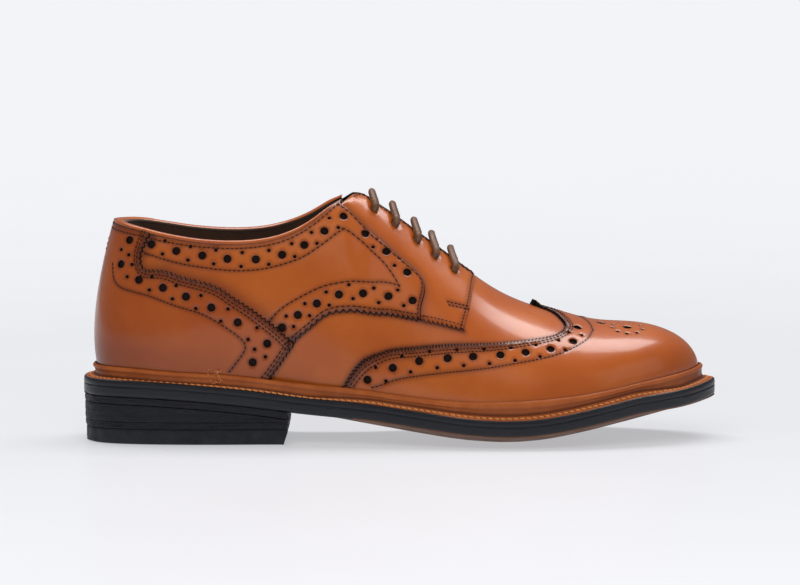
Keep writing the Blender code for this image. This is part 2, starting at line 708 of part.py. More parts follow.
def level_plane(z):
    """A flat face at height z."""
    return lambda x, y: np.full(len(x), z)


def under_sole(depth):
    """A face that follows the outsole's bottom."""
    return lambda x, y: sole_z(x, y) - depth


def welt_section(t):
    """Cross section of the storm welt at one loop parameter."""
    s = float(fold(t)[0])
    level = float(monotone(column(LIP_LEVEL, 0), column(LIP_LEVEL, 1), s))
    foot = feather_point(t)[0]
    ex, ey = edge_point(t)[0]
    under = float(sole_z(ex, ey)) + OUTSOLE_THICK + SEAM_GAP
    inner = inset_feather(t, 2.6)[0]
    inner_under = float(sole_z(*inner)) + OUTSOLE_THICK + SEAM_GAP
    lip_v = 0.0
    lip_z = float(loop_value(SPLINE_LIP, np.atleast_1d(np.mod(t, LOOP)))[0])
    for _ in range(40):
        lip_v += 0.004
        if on_last(t, lip_v, level)[0][2] >= lip_z:
            break
    root_in = on_last(t, 0.0, level)[0]
    shelf = min(foot[2], root_in[2]) - 2.0 * SEAM_GAP
    lip_in = on_last(t, lip_v, level)[0]
    lip_out = on_last(t, lip_v, level + 1.1)[0]
    foot_out = on_last(t, 0.0, level + 2.0)[0]
    return [(*inner, inner_under), (ex, ey, under), (ex, ey, under + 3.1),
            (foot_out[0], foot_out[1], shelf + 1.1), tuple(lip_out), tuple(lip_in),
            (root_in[0], root_in[1], shelf), (*inner, shelf)]


def strip(name, ts, stuff, group):
    """Welt strip along the loop between the first and last parameters."""
    rings = [welt_section(t) for t in ts]
    size = len(rings[0])
    points = [p for ring in rings for p in ring]
    faces = []
    for i in range(len(rings) - 1):
        for k in range(size):
            a = i * size + k
            b = i * size + (k + 1) % size
            faces.append((a, b, b + size, a + size))
    faces.append(tuple(reversed(range(size))))
    faces.append(tuple(range(len(points) - size, len(points))))
    return add_object(name, closed_mesh(name, points, faces), stuff, group)


def rib(name, stuff, group):
    """Insole rib: a ring under the insole that the welt is sewn to."""
    ts = np.arange(0.0, LOOP, 1.0)
    outer = inset_feather(ts, 2.9)
    inner = inset_feather(ts, 5.4)
    base_out = sole_z(outer[:, 0], outer[:, 1]) + OUTSOLE_THICK + SEAM_GAP
    base_in = sole_z(inner[:, 0], inner[:, 1]) + OUTSOLE_THICK + SEAM_GAP
    count = len(ts)
    height = RIB_HEIGHT
    points = np.vstack([np.column_stack([outer, base_out]), np.column_stack([outer, base_out + height]),
                        np.column_stack([inner, base_in + height]), np.column_stack([inner, base_in])])
    faces = []
    for ring in range(4):
        nxt = (ring + 1) % 4
        for i in range(count):
            j = (i + 1) % count
            faces.append((ring * count + i, ring * count + j, nxt * count + j, nxt * count + i))
    return add_object(name, closed_mesh(name, points, faces), stuff, group)


# ---------------------------------------------------------------- fittings
def turned(name, profile, steps, stuff, group):
    """Turned piece about +Z from an outer-side profile of (radius, z) in mm, top to bottom."""
    shape = bmesh.new()
    verts = [shape.verts.new((r * MM, 0.0, z * MM)) for r, z in profile]
    for a, b in zip(verts, verts[1:]):
        shape.edges.new((a, b))
    if profile[0][0] > 0.0:
        shape.edges.new((verts[-1], verts[0]))
    mesh = bpy.data.meshes.new(name)
    shape.to_mesh(mesh)
    shape.free()
    made = add_object(name, mesh, stuff, group)
    screw = made.modifiers.new("Turn", "SCREW")
    screw.steps = steps
    screw.render_steps = steps
    screw.use_merge_vertices = True
    screw.merge_threshold = 0.00001
    return made


def cutter(name, radius, length, group):
    """Wire-drawn cylinder that cuts a hole."""
    bpy.ops.mesh.primitive_cylinder_add(vertices=8, radius=radius * MM, depth=length * MM)
    made = bpy.context.active_object
    made.name = name
    for owner in list(made.users_collection):
        owner.objects.unlink(made)
    group.objects.link(made)
    made.hide_render = True
    made.display_type = "WIRE"
    return made


def cut(target, tool):
    """Cut a tool out of a piece."""
    boolean = target.modifiers.new("Hole " + tool.name, "BOOLEAN")
    boolean.operation = "DIFFERENCE"
    boolean.solver = "EXACT"
    boolean.object = tool


def aim(made, point, direction):
    """Place a piece at a point of the frame with its +Z along a direction."""
    made.rotation_mode = "QUATERNION"
    made.rotation_quaternion = Vector(direction).to_track_quat("Z", "Y")
    made.location = Vector(point)


def eyelet_parameters():
    """Loop parameters of the lateral eyelets, from the front to the top."""
    return seen(EYELETS, QUARTER[0])


def bore(target_names, name, point, direction, radius, length, groups):
    """Cut one round hole through several pieces."""
    tool = cutter(name, radius, length, groups[1])
    aim(tool, point, direction)
    for target in target_names:
        cut(bpy.data.objects[target], tool)


# ---------------------------------------------------------------- tongue
def tongue_sheet(name, layer, trim, stuff, group):
    """The tongue or its lining: a curved sheet over the instep, open at its top."""
    root = crown_at(TONGUE_ROOT_X, RIDGE_START, TIP)
    dip = crown_at(TONGUE_ROOT_X - TONGUE_DIP, RIDGE_START, TIP)
    stations = [root, 0.5 * (root + dip), dip] + list(np.arange(10.0, TONGUE_TOP_STATION, -0.5))
    stations.append(TONGUE_TOP_STATION)
    shares = (0.0, 0.34, 0.67, 1.0)
    rows = []
    for s in stations:
        f = np.clip((s - dip) / (root - dip), 0.0, 1.0)
        level = layer[0] + (TONGUE_ROOT_LEVEL - TONGUE[0]) * f * f * (3.0 - 2.0 * f)
        grow = np.clip((root - s) / (root - TONGUE_TOP_STATION), 0.0, 1.0)
        half = TONGUE_ROOT_HALF + (TONGUE_HALF - TONGUE_ROOT_HALF) * grow - trim
        reach = loop_value(SPLINE_REACH, np.array([s]))[0]
        heights = [1.0 - share * half / (3.0 * reach) for share in shares]
        lateral = on_last([s] * 4, heights, level)[::-1]
        medial = on_last([LOOP - s] * 4, heights, level)[1:]
        rows.append(np.vstack([lateral, medial]))
    run = rows[-1] - rows[-2]
    run /= np.linalg.norm(run, axis=1)[:, None]
    for share in (0.4, 0.75, 1.0):
        lift = run * (TONGUE_EXTRA - trim) * share
        lift[:, 2] -= 2.5 * share * share
        rows.append(rows[len(stations) - 1] + lift)
    rows[-1][0] -= run[0] * 5.0
    rows[-1][-1] -= run[-1] * 5.0
    wide = len(rows[0])
    faces = []
    for i in range(len(rows) - 1):
        for k in range(wide - 1):
            a = i * wide + k
            faces.append((a, a + 1, a + 1 + wide, a + wide))
    mesh = mesh_from(name, np.vstack(rows), faces)
    face_out(mesh)
    made = add_object(name, mesh, stuff, group)
    thicken(made, layer[1])
    return made


# ---------------------------------------------------------------- lace
def crossing(start, end, shares, level):
    """Points at a level from one eyelet to another over the ridge."""
    points = []
    for share in shares:
        t_start = min(start[0], LOOP - start[0])
        t_end = min(end[0], LOOP - end[0])
        s = t_start + (t_end - t_start) * share
        away = -1.0 + 2.0 * share if start[0] < TIP else 1.0 - 2.0 * share
        depth = (1.0 - start[1]) + (start[1] - end[1]) * share
        t = s if away < 0.0 else LOOP - s
        points.append(on_last(t, 1.0 - abs(away) * depth, level)[0])
    return points


def bend(hole, level):
    """One point of the lace on an eyelet's axis."""
    return [on_last(hole[0], hole[1], level)[0]]


def lace_route():
    """Route of the lace from its medial end to its lateral end."""
    lateral = eyelet_parameters()
    medial = [(LOOP - t, v) for t, v in lateral]
    over = (0.09, 0.36, 0.64, 0.91)
    under = (0.08, 0.27, 0.43, 0.57, 0.73, 0.92)
    down = (2.8, 0.0, -3.2)
    first = medial[0]
    top = medial[-1]
    route = [on_last(t, v, level)[0] for t, v, level in (
        (LOOP - 9.0, 0.42, -5.2), (LOOP - 8.6, 0.5, -5.2), (LOOP - 8.4, 0.58, -5.0),
        (LOOP - 8.7, 0.66, -4.6), (LOOP - 9.1, top[1] - 0.085, LACE_UNDER),
        (LOOP - 9.7, medial[2][1] - 0.085, LACE_UNDER), (LOOP - 10.15, first[1] - 0.07, LACE_UNDER))]
    for level in reversed(down):
        route += bend(first, level)
    for i, (left, right) in enumerate(zip(lateral, medial)):
        route += crossing(right, left, over, LACE_OVER)
        for level in down:
            route += bend(left, level)
        if i + 1 < len(lateral):
            route += crossing(left, medial[i + 1], under, LACE_UNDER)
            for level in reversed(down):
                route += bend(medial[i + 1], level)
    last_hole = lateral[-1]
    route += [on_last(t, v, level)[0] for t, v, level in (
        (last_hole[0] - 0.25, last_hole[1] - 0.06, LACE_UNDER), (8.6, 0.72, -4.2),
        (8.4, 0.62, -4.9), (8.6, 0.52, -5.2), (9.0, 0.43, -5.2))]
    return np.array(route)


def polyline(name, points, radius, stuff, group):
    """Round cord along hand-set points, its ends capped."""
    curve = bpy.data.curves.new(name, "CURVE")
    curve.dimensions = "3D"
    curve.bevel_depth = radius * MM
    curve.bevel_resolution = 2
    curve.use_fill_caps = True
    spline = curve.splines.new("POLY")
    spline.points.add(len(points) - 1)
    for spot, point in zip(spline.points, to_frame(points)):
        spot.co = (*point, 1.0)
    made = bpy.data.objects.new(name, curve)
    curve.materials.append(material(stuff))
    group.objects.link(made)
    return made


def aglet(name, end, before, group):
    """Tip sleeve that carries the lace on from its end."""
    direction = (end - before) / np.linalg.norm(end - before)
    half = AGLET_LENGTH / 2.0
    profile = ((0.0, half), (1.2, half), (1.7, half - 0.8), (1.7, -half), (0.0, -half))
    made = turned(name, profile, 10, "aglet", group)
    aim(made, to_frame(end + direction * (SEAM_GAP + half)), direction)
    return made


# ---------------------------------------------------------------- assembly
def hinge(name, point, direction, pieces, group):
    """Empty on a joint's axis that carries the moving pieces."""
    empty = bpy.data.objects.new(name, None)
    group.objects.link(empty)
    empty.empty_display_size = 0.02
    aim(empty, point, direction)
    bpy.context.view_layer.update()
    for piece in pieces:
        piece.parent = empty
        piece.matrix_parent_inverse = empty.matrix_world.inverted()
    return empty


def build_upper(group):
    """Leather pieces of the upper, with their linings and stiffeners."""
    lateral_quarter = quarter_outline(False)
    lining = quarter_outline(True)
    patch("lateral_quarter", [lateral_quarter], QUARTER, "leather", group)
    patch("medial_quarter", [mirrored(lateral_quarter)], QUARTER, "leather", group)
    patch("lateral_quarter_lining", [lining], LINING, "lining", group)
    patch("medial_quarter_lining", [mirrored(lining)], LINING, "lining", group)
    for side, turn in (("lateral", list), ("medial", mirrored)):
        patch(side + "_facing", [turn(flap_outline(False))], QUARTER, "leather", group)
        patch(side + "_facing_lining", [turn(flap_outline(True))], VAMP, "lining", group)
        patch(side + "_facing_stay", [turn(stay_outline())], QUARTER, "leather", group)
    patch("heel_counter", [counter_outline()], COUNTER, "leather_dark", group)
    rear = vamp_outline(VAMP_REAR, VAMP_FRONT)
    patch("vamp", [rear, mirrored(rear)], VAMP, "leather", group)
    patch("vamp_lining", [vamp_outline(VAMP_REAR, None)], LINING, "lining", group)
    cap = cap_outline()
    patch("toe_cap", [cap + mirrored(cap)], QUARTER, "leather", group)
    puff = [(PUFF_REAR, 0.0), (PUFF_REAR, 1.0)]
    patch("toe_puff", [puff + mirrored(puff)], STIFF, "stiffener", group)
    side = seen(STIFFENER_TOP, -0.5) + [(foot_at(78.0), 0.0)]
    stiffener = [(0.0, 0.62)] + side
    patch("heel_stiffener", [stiffener + [(-t, v) for t, v in reversed(side)]],
          STIFF, "stiffener", group)
    tongue_sheet("tongue", TONGUE, 0.0, "leather", group)
    tongue_sheet("tongue_lining", TONGUE_LINING, 1.0, "lining", group)


def build_bottom(groups):
    """Soles, welt, filler, shank and heel."""
    group = groups[0]
    sole_slab("outsole", edge_point, 0.0, TIP, 0.0, OUTSOLE_THICK, "edge_black", group)
    seat = OUTSOLE_THICK + SEAM_GAP
    insole_low = seat + RIB_HEIGHT + 2.0 * SEAM_GAP
    insole_high = insole_low + 3.3
    sole_slab("insole", lambda t: inset_feather(t, 3.3), 0.0, TIP, insole_low, insole_high,
              "veg_leather", group)
    sole_slab("heel_sock", lambda t: inset_feather(t, 4.0), 0.0, 5.5, insole_high + SEAM_GAP,
              insole_high + SEAM_GAP + 1.0, "lining", group)
    rib("insole_rib", "veg_leather", group)
    sole_slab("cork_filler", lambda t: inset_feather(t, 7.2), 8.5, TIP, seat, seat + 3.0,
              "cork", group)
    shank_x = np.linspace(54.0, 144.0, 10)
    slab("shank", np.column_stack([shank_x, np.full(10, -8.0)]),
         np.column_stack([shank_x, np.full(10, 6.0)]), lambda x, y: sole_z(x, y) + seat,
         lambda x, y: sole_z(x, y) + seat + 1.8, 1, "steel", group)
    joint = foot_at(68.0)
    strip("welt", np.append(np.arange(joint, LOOP - joint, 0.5), LOOP - joint),
          "welt_leather", group)
    rear = joint - 0.02
    strip("heel_rand", np.linspace(-rear, rear, 18), "welt_leather", group)
    base = TOP_PIECE_THICK
    heel_layer("top_piece", level_plane(0.0), level_plane(base), 1.2, "rubber", group)
    flat_top = base + SEAM_GAP + LIFT_THICK
    heel_layer("heel_lift_3", level_plane(base + SEAM_GAP), level_plane(flat_top), 0.9,
               "edge_black", group)
    heel_layer("heel_lift_2", level_plane(flat_top + SEAM_GAP),
               under_sole(2.0 * SEAM_GAP + LIFT_THICK), 0.7, "edge_black", group)
    heel_layer("heel_lift_1", under_sole(SEAM_GAP + LIFT_THICK), under_sole(SEAM_GAP), 0.5,
               "edge_black", group)
    for i, (x, y) in enumerate(NAIL_SPOTS):
        head = float(sole_z(x, y)) + seat
        profile = ((0.0, head + 1.0), (2.0, head + 1.0), (2.0, head), (0.9, head),
                   (0.9, flat_top + 1.2), (0.0, flat_top + 0.8))
        nail = turned("heel_nail_%d" % (i + 1), profile, 8, "brass", group)
        nail.location = to_frame([(x, y, 0.0)])[0]
        bore(("outsole", "heel_lift_1", "heel_lift_2"), "nail_bore_%d" % (i + 1),
             to_frame([(x, y, 14.0 + flat_top + 0.5)])[0], (0.0, 0.0, 1.0), 1.3, 28.0, groups)


def build_lacing(groups):
    """Eyelets, their holes, the lace and its tips."""
    group = groups[0]
    profile = ((EYELET_OUTER / 2.0, 0.6), (EYELET_OUTER / 2.0, -1.4),
               (EYELET_INNER / 2.0, -1.4), (EYELET_INNER / 2.0, 0.6))
    for side in ("lateral", "medial"):
        for i, (t, v) in enumerate(eyelet_parameters()):
            if side == "medial":
                t = LOOP - t
            normal = last_normal(np.array([t]), np.array([v]))[0]
            point = to_frame(last_point(np.array([t]), np.array([v])))[0]
            ring = turned("%s_eyelet_%d" % (side, i + 1), profile, 10, "brass", group)
            aim(ring, point, normal)
            bore((side + "_facing", side + "_facing_lining"), "%s_bore_%d" % (side, i + 1),
                 point, normal, EYELET_BORE / 2.0, 7.0, groups)
    route = lace_route()
    polyline("shoelace", route, LACE_RADIUS, "lace", group)
    aglet("medial_aglet", route[0], route[1], group)
    aglet("lateral_aglet", route[-1], route[-2], group)


def hang_moving_parts(group):
    """Hinges of the tongue and of the two lacing flaps."""
    t_top, v_top = seen_at(*HINGE_TOP)
    t_foot, v_foot = seen_at(*HINGE_FOOT)
    for side in ("lateral", "medial"):
        if side == "lateral":
            top = on_last(t_top, v_top, HINGE_LEVEL)[0]
            run = on_last(t_foot, v_foot, HINGE_LEVEL)[0] - top
        else:
            top = on_last(LOOP - t_top, v_top, HINGE_LEVEL)[0]
            run = top - on_last(LOOP - t_foot, v_foot, HINGE_LEVEL)[0]
        names = [side + "_facing", side + "_facing_lining"]
        names += ["%s_eyelet_%d" % (side, i + 1) for i in range(len(EYELETS))]
        hinge(side + "_flap_hinge", to_frame(top), run,
              [bpy.data.objects[name] for name in names], group)
    root = crown_at(TONGUE_ROOT_X, RIDGE_START, TIP)
    middle = on_last(root, 1.0, TONGUE_ROOT_LEVEL)[0] + np.array([0.0, 0.0, -TONGUE_HINGE_DROP])
    hinge("tongue_hinge", to_frame(middle), (0.0, -1.0, 0.0),
          [bpy.data.objects["tongue"], bpy.data.objects["tongue_lining"]], group)


def main():
    """Build the shoe."""
    clear_scene()
    groups = (make_collection("derby_shoe"), make_collection("cutters"))
    build_upper(groups[0])
    build_bottom(groups)
    build_lacing(groups)
    hang_moving_parts(groups[0])


main()
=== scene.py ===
"""Looks of the brogue derby shoe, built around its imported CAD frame.

Tables are in millimetres from the back of the outsole, as in the CAD source.  The upper is
built on the last: a loop parameter t runs from the back of the heel (0) along the lateral side
to the toe tip (TIP) and back along the medial side, and v runs from the feather edge (0) up to
the topline or the ridge of the instep (1).  Leather pieces are cut as flat patterns: the last is
spread out flat, column by column, round the plan of its topline and ridge, so that pinked edges,
punched holes and stitches keep their real sizes, and is then gathered up again.
"""

import math

import bmesh
import bpy
import numpy as np
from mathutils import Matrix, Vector, geometry


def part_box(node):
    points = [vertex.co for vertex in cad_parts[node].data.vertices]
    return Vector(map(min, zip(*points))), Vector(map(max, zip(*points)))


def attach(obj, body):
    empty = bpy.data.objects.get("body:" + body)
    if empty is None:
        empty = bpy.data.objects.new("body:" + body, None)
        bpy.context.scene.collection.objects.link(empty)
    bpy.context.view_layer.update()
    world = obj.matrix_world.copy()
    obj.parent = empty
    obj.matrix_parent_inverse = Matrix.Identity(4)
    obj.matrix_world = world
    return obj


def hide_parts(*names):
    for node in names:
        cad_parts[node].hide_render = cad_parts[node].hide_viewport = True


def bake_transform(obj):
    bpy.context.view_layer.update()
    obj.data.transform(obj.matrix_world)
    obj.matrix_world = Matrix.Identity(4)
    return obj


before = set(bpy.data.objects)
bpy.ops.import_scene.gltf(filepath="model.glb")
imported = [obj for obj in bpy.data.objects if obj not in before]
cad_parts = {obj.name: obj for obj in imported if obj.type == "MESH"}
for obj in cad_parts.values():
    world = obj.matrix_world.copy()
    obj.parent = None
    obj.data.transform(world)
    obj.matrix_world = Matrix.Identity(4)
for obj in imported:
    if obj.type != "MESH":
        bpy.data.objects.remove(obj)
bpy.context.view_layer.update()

MM = 0.001
BACK_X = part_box("outsole")[0][0] / MM       # row x of the tables' zero, in millimetres

# ---------------------------------------------------------------- the last (mm)
# Feather edge: x, lateral y, medial y, height of the welt lip, depth from lip to feather.
FEATHER = (
    (10.2, 0.0, 0.0, 36.7, 4.8),
    (13.5, -14.5, 14.0, 36.5, 4.8),
    (24.0, -23.0, 22.5, 36.2, 4.8),
    (44.0, -27.5, 27.0, 34.7, 4.8),
    (68.0, -28.5, 27.0, 33.2, 4.8),
    (92.0, -28.5, 25.0, 30.6, 5.0),
    (112.0, -30.5, 23.5, 27.9, 5.5),
    (130.0, -33.5, 24.0, 25.6, 6.0),
    (146.0, -37.0, 26.5, 23.4, 6.4),
    (162.0, -41.5, 31.0, 21.7, 6.7),
    (180.0, -45.0, 37.5, 20.3, 7.1),
    (200.0, -47.5, 43.5, 20.3, 7.4),
    (220.0, -46.5, 47.0, 21.3, 7.3),
    (240.0, -42.0, 46.0, 23.5, 7.0),
    (258.0, -34.5, 41.0, 26.8, 6.6),
    (275.5, -24.0, 33.0, 30.5, 6.3),
    (289.0, -11.0, 22.0, 33.6, 6.2),
    (295.5, 5.5, 5.5, 35.3, 6.2),
)

# Wall above the feather: lateral bulge, medial bulge, rise of the lower control point.
WALL = (
    (6.0, 6.0, 20.0), (5.5, 5.5, 20.5), (5.5, 5.5, 21.0), (5.0, 5.0, 23.0), (4.5, 5.0, 25.0),
    (4.5, 7.0, 28.0), (4.5, 9.5, 32.0), (5.5, 11.5, 36.0), (6.0, 12.0, 37.0), (6.0, 11.5, 34.0),
    (6.5, 9.5, 30.0), (7.0, 8.0, 27.0), (7.0, 7.0, 24.5), (6.5, 6.5, 23.0), (6.0, 6.0, 21.0),
    (5.5, 5.5, 19.0), (4.0, 4.0, 17.0), (2.5, 2.5, 15.0),
)

# Topline, then ridge: x, half width of the opening, z, reach of the upper control point
# (lateral, medial), its drop, and the column's turn from straight across, in degrees.
CROWN = (
    (17.2, 0.0, 104.8, 6.7, 6.7, 24.8, -90.0),
    (20.0, 9.5, 103.8, 6.2, 6.2, 25.0, -55.0),
    (28.5, 17.5, 101.7, 5.6, 5.6, 24.0, -25.0),
    (46.0, 23.0, 98.0, 5.0, 5.0, 22.0, -6.0),
    (68.0, 26.5, 95.8, 5.0, 5.0, 20.0, 0.0),
    (91.0, 26.8, 97.5, 6.0, 6.0, 20.0, 0.0),
    (110.0, 22.5, 105.5, 9.0, 9.0, 18.0, 0.0),
    (124.5, 13.0, 115.5, 14.0, 13.0, 10.0, 0.0),
    (138.0, 0.0, 115.8, 19.0, 18.0, 0.0, 0.0),
    (155.0, 0.0, 104.3, 21.0, 20.0, 0.0, 0.0),
    (176.0, 0.0, 88.2, 23.0, 22.0, 0.0, 0.0),
    (200.0, 0.0, 71.0, 26.0, 26.0, 0.0, 0.0),
    (224.0, 0.0, 61.4, 27.0, 29.0, 0.0, 0.0),
    (243.0, 0.0, 56.0, 26.0, 29.0, 0.0, 6.0),
    (254.5, 0.0, 54.8, 25.0, 27.0, 0.0, 24.0),
    (259.8, 0.0, 54.6, 23.5, 25.0, 0.0, 46.0),
    (261.6, 0.0, 54.5, 21.5, 22.0, 0.0, 68.0),
    (262.0, 0.0, 54.5, 20.5, 20.5, 0.0, 90.0),
)
RIDGE_START = 8
TOE_SWING = 4.5
COLLAR_RISE = 3.0
TOE_SLOPE = 0.06

# Level of the welt's lip by station.
LIP_LEVEL = ((0.0, 3.25), (5.0, 3.25), (6.5, 1.8), (17.0, 1.8))

# Edge of the outsole: x, lateral y, medial y.
SOLE_EDGE = (
    (0.0, 0.0, 0.0), (4.0, -19.5, 19.0), (18.0, -30.5, 30.0), (42.0, -35.0, 34.5),
    (68.0, -35.5, 33.5), (92.0, -34.5, 30.5), (112.0, -36.0, 28.5), (130.0, -38.8, 28.5),
    (146.0, -42.5, 31.0), (162.0, -47.3, 36.5), (180.0, -51.8, 43.5), (201.0, -54.0, 50.0),
    (222.0, -52.8, 53.8), (243.5, -47.5, 52.0), (263.0, -39.0, 46.5), (282.5, -27.5, 37.0),
    (297.5, -12.5, 24.5), (305.0, 6.0, 6.0),
)

# Bottom of the outsole along its middle: x, z.
SOLE_PROFILE = (
    (0.0, 22.6), (24.0, 22.3), (44.0, 21.3), (68.0, 19.3), (92.0, 16.5), (112.0, 13.4),
    (130.0, 10.2), (146.0, 7.2), (162.0, 4.3), (180.0, 1.5), (196.0, 0.15), (206.0, 0.0),
    (220.0, 1.0), (240.0, 4.6), (258.0, 8.8), (275.0, 13.0), (290.0, 16.9), (305.0, 20.5),
)
OUTSOLE_THICK = 5.0
SEAM_GAP = 0.3
HEEL_BREAST = 99.0
HEEL_HALF = 35.0
TOP_PIECE_THICK = 7.3
LIFT_THICK = 3.0
CAMBER = 2.0
CAMBER_START = 120.0
CAMBER_RUN = 50.0
CAMBER_LIMIT = 1.3
SOLE_HALF = 50.0
RIM_LIFT = 3.0
LIP_LIFT = 1.5

# ---------------------------------------------------------------- pattern lines (mm)
# Lateral side seen square from the side: x, z.
ARCH = ((182.5, 56.0), (174.5, 58.0), (162.0, 60.5), (150.0, 62.5), (138.0, 63.5),
        (128.5, 64.5), (122.5, 64.0), (116.5, 62.0), (111.0, 57.5), (105.0, 52.5), (98.0, 45.0))
SEAM = ((123.9, 114.5), (133.5, 106.0), (145.0, 95.5), (155.0, 87.0), (163.5, 78.5),
        (164.2, 74.5), (162.4, 67.0), (162.0, 60.5))
COUNTER_EDGE = ((32.5, 99.9), (30.5, 95.5), (28.3, 88.0), (29.0, 84.5), (38.5, 82.5), (47.0, 80.0),
                (57.0, 77.5), (68.0, 73.5), (73.0, 70.0), (80.0, 65.5), (87.0, 60.5),
                (93.5, 55.5), (101.5, 48.0))
COUNTER_TAIL = ((101.5, 48.0), (98.0, 42.5), (93.5, 36.0), (89.5, 30.5))
CAP_EDGE = ((131.0, 35.5), (139.0, 42.0), (151.5, 45.8), (166.0, 47.4), (187.0, 48.7),
            (207.0, 49.8), (220.0, 51.2), (229.0, 53.2), (232.4, 56.0), (230.6, 58.9))
VAMP_REAR = ((185.6, 77.0), (183.0, 70.5), (175.0, 67.4), (162.0, 69.5), (150.0, 71.2),
             (130.0, 73.0), (114.0, 70.5), (100.0, 61.0), (91.5, 49.0), (86.5, 38.0))
VAMP_END = 13.5      # station where the vamp ends under the cap
QUARTER_END = 1.2    # station where the quarters end under the counter
LINING_FRONT = ((123.9, 114.5), (145.0, 95.5), (163.0, 79.0), (172.0, 69.0), (162.0, 70.0),
                (150.0, 71.7), (130.0, 73.5), (114.0, 71.0), (99.5, 61.5), (91.0, 49.5), (86.0, 38.5))
TOP_V = 0.992        # height of the leather's edge under the folded topline
TOP_ROW_V = 0.955    # height of the stitch row along the topline
CAP_FOOT_X = 123.0       # where each piece's lower edge meets the sole
COUNTER_FOOT_X = 88.8
QUARTER_FOOT_X = 83.5
VAMP_FOOT_X = 84.5
CAP_SLANT = (224.5, -3.6)
CAP_PEAK = (215.5, 0.0)
PEAK_CURL = 1.8
MEDALLION = (262.9, -12.5)
NOSE = ((187.6, 80.0), (188.2, 77.0), (187.2, 72.2), (185.2, 64.5), (182.5, 56.0))

TOPLINE_ROW = ((31.0, 90.5), (40.0, 88.0), (54.0, 85.0), (67.5, 83.3), (79.5, 83.0),
               (93.0, 85.0), (105.0, 88.8), (116.5, 96.0), (125.5, 102.5))
FACING_ROW = ((125.5, 102.5), (138.0, 93.0), (148.0, 82.5), (152.0, 76.0))
ARCH_ROW = ((152.0, 76.0), (138.0, 77.5), (129.0, 78.0), (119.5, 76.5), (111.0, 73.5),
            (101.5, 68.5), (95.5, 64.5), (90.0, 58.5))
COUNTER_ROW = ((15.0, 85.0), (15.5, 79.0), (17.5, 75.5), (23.5, 73.0), (33.5, 70.5),
               (46.5, 66.0), (60.5, 61.5), (70.5, 55.5), (76.5, 51.0), (79.0, 47.5),
               (76.5, 41.5), (71.5, 35.0))
CAP_ROW = ((139.5, 28.0), (148.0, 31.0), (162.0, 34.0), (186.5, 37.0), (206.5, 40.0),
           (224.0, 43.0), (235.0, 46.6), (242.0, 50.4), (244.8, 53.6))
TOPLINE_HOLES = ((34.0, 95.0), (46.0, 92.0), (58.5, 90.0), (70.5, 88.5), (84.0, 88.3),
                 (96.5, 90.5), (107.0, 95.0), (116.5, 101.5), (125.5, 108.3))
SEAM_HOLES = ((136.0, 100.0), (146.0, 91.7), (156.0, 82.0))
ARCH_HOLES = ((158.5, 69.0), (147.0, 71.0), (135.0, 72.3), (123.5, 71.8), (113.0, 67.5),
              (104.0, 62.0), (96.5, 56.0))
COUNTER_HOLES = ((24.0, 96.5), (20.0, 85.0), (28.5, 78.0), (40.0, 74.5), (51.0, 70.5),
                 (63.0, 65.5), (75.5, 58.5), (89.5, 48.5), (82.5, 39.5))
CAP_HOLES = ((137.0, 31.5), (149.0, 37.5), (161.5, 41.0), (175.0, 42.5), (187.0, 43.3),
             (200.0, 44.0), (212.0, 45.0), (224.0, 46.3), (235.0, 49.3), (237.5, 55.0))
EYELETS = ((178.6, 82.3), (169.4, 89.0), (160.8, 96.2), (150.3, 104.0), (140.4, 111.2))
BAR_TACK = ((176.0, 66.8), (185.0, 64.8))
FACING_TOP = np.array([[7.35, 7.72], [0.998, 0.985]])     # stations and heights
HINGE_TOP = (122.6, 114.0)
HINGE_FOOT = (179.0, 65.5)
HINGE_LEVEL = 2.5

BIG_HOLE = 1.95
SMALL_HOLE = 0.85
PAIR_OFFSET = 3.3
STITCH_PITCH = 2.2
FACING_GAP = 6.0

# Outer levels over the last.
VAMP_LEVEL = 0.0
FACING_LEVEL = 1.15
QUARTER_LEVEL = 1.6
COUNTER_LEVEL = 2.9
CAP_LEVEL = 1.45
LINING_LEVEL = -1.6
LEATHER = 1.1
TRIM_LEATHER = 1.35
QUARTER_TEETH = (2.8, 1.6)     # pitch and depth of the pinked edges
COUNTER_TEETH = (2.6, 1.2)
CAP_TEETH = (2.0, 1.15)
EDGE_ROW = 1.9                 # first stitch row from a pinked edge
THREAD_RADIUS = 0.27
THREAD_SINK = 0.12
RIM_WIDTH = 0.5
HOLE_RIM = 0.4
ROW_DEPTH = 0.2

LACE_RADIUS = 1.65
LACE_BOW = 0.12      # stations that the bars lean back over the ridge
LACE_STEP = 0.55
LACE_OVER = 3.3
LACE_UNDER = -3.65
TONGUE_LEVEL = -6.6
TONGUE_LINING_LEVEL = -7.9
TONGUE_ROOT_X = 186.4
TONGUE_ROOT_LEVEL = -3.5
TONGUE_TOP_STATION = 8.6
TONGUE_EXTRA = 22.0
TONGUE_HALF = 21.0
TONGUE_ROOT_HALF = 15.0
TONGUE_DIP = 5.0

TIP = len(FEATHER) - 1
LOOP = 2 * TIP


# ---------------------------------------------------------------- splines
def loop_spline(values):
    """Second derivatives of the periodic cubic spline through values at 0, 1, 2, ..."""
    values = np.asarray(values, float)
    count = len(values)
    matrix = np.zeros((count, count))
    for i in range(count):
        matrix[i, i] = 4.0
        matrix[i, (i + 1) % count] = 1.0
        matrix[i, i - 1] = 1.0
    right = 6.0 * (np.roll(values, -1, 0) - 2.0 * values + np.roll(values, 1, 0))
    return values, np.linalg.solve(matrix, right)


def loop_value(spline, t):
    """Value of a periodic cubic spline at t."""
    values, second = spline
    count = len(values)
    cell = np.floor(t).astype(int)
    b = t - cell
    a = 1.0 - b
    i = cell % count
    j = (cell + 1) % count
    curve = ((a ** 3 - a) * second[i] + (b ** 3 - b) * second[j]) / 6.0
    return a * values[i] + b * values[j] + curve


def two_sided(lateral, medial):
    """Loop spline of a quantity given along the lateral and the medial side."""
    return loop_spline(list(lateral) + list(medial[-2:0:-1]))


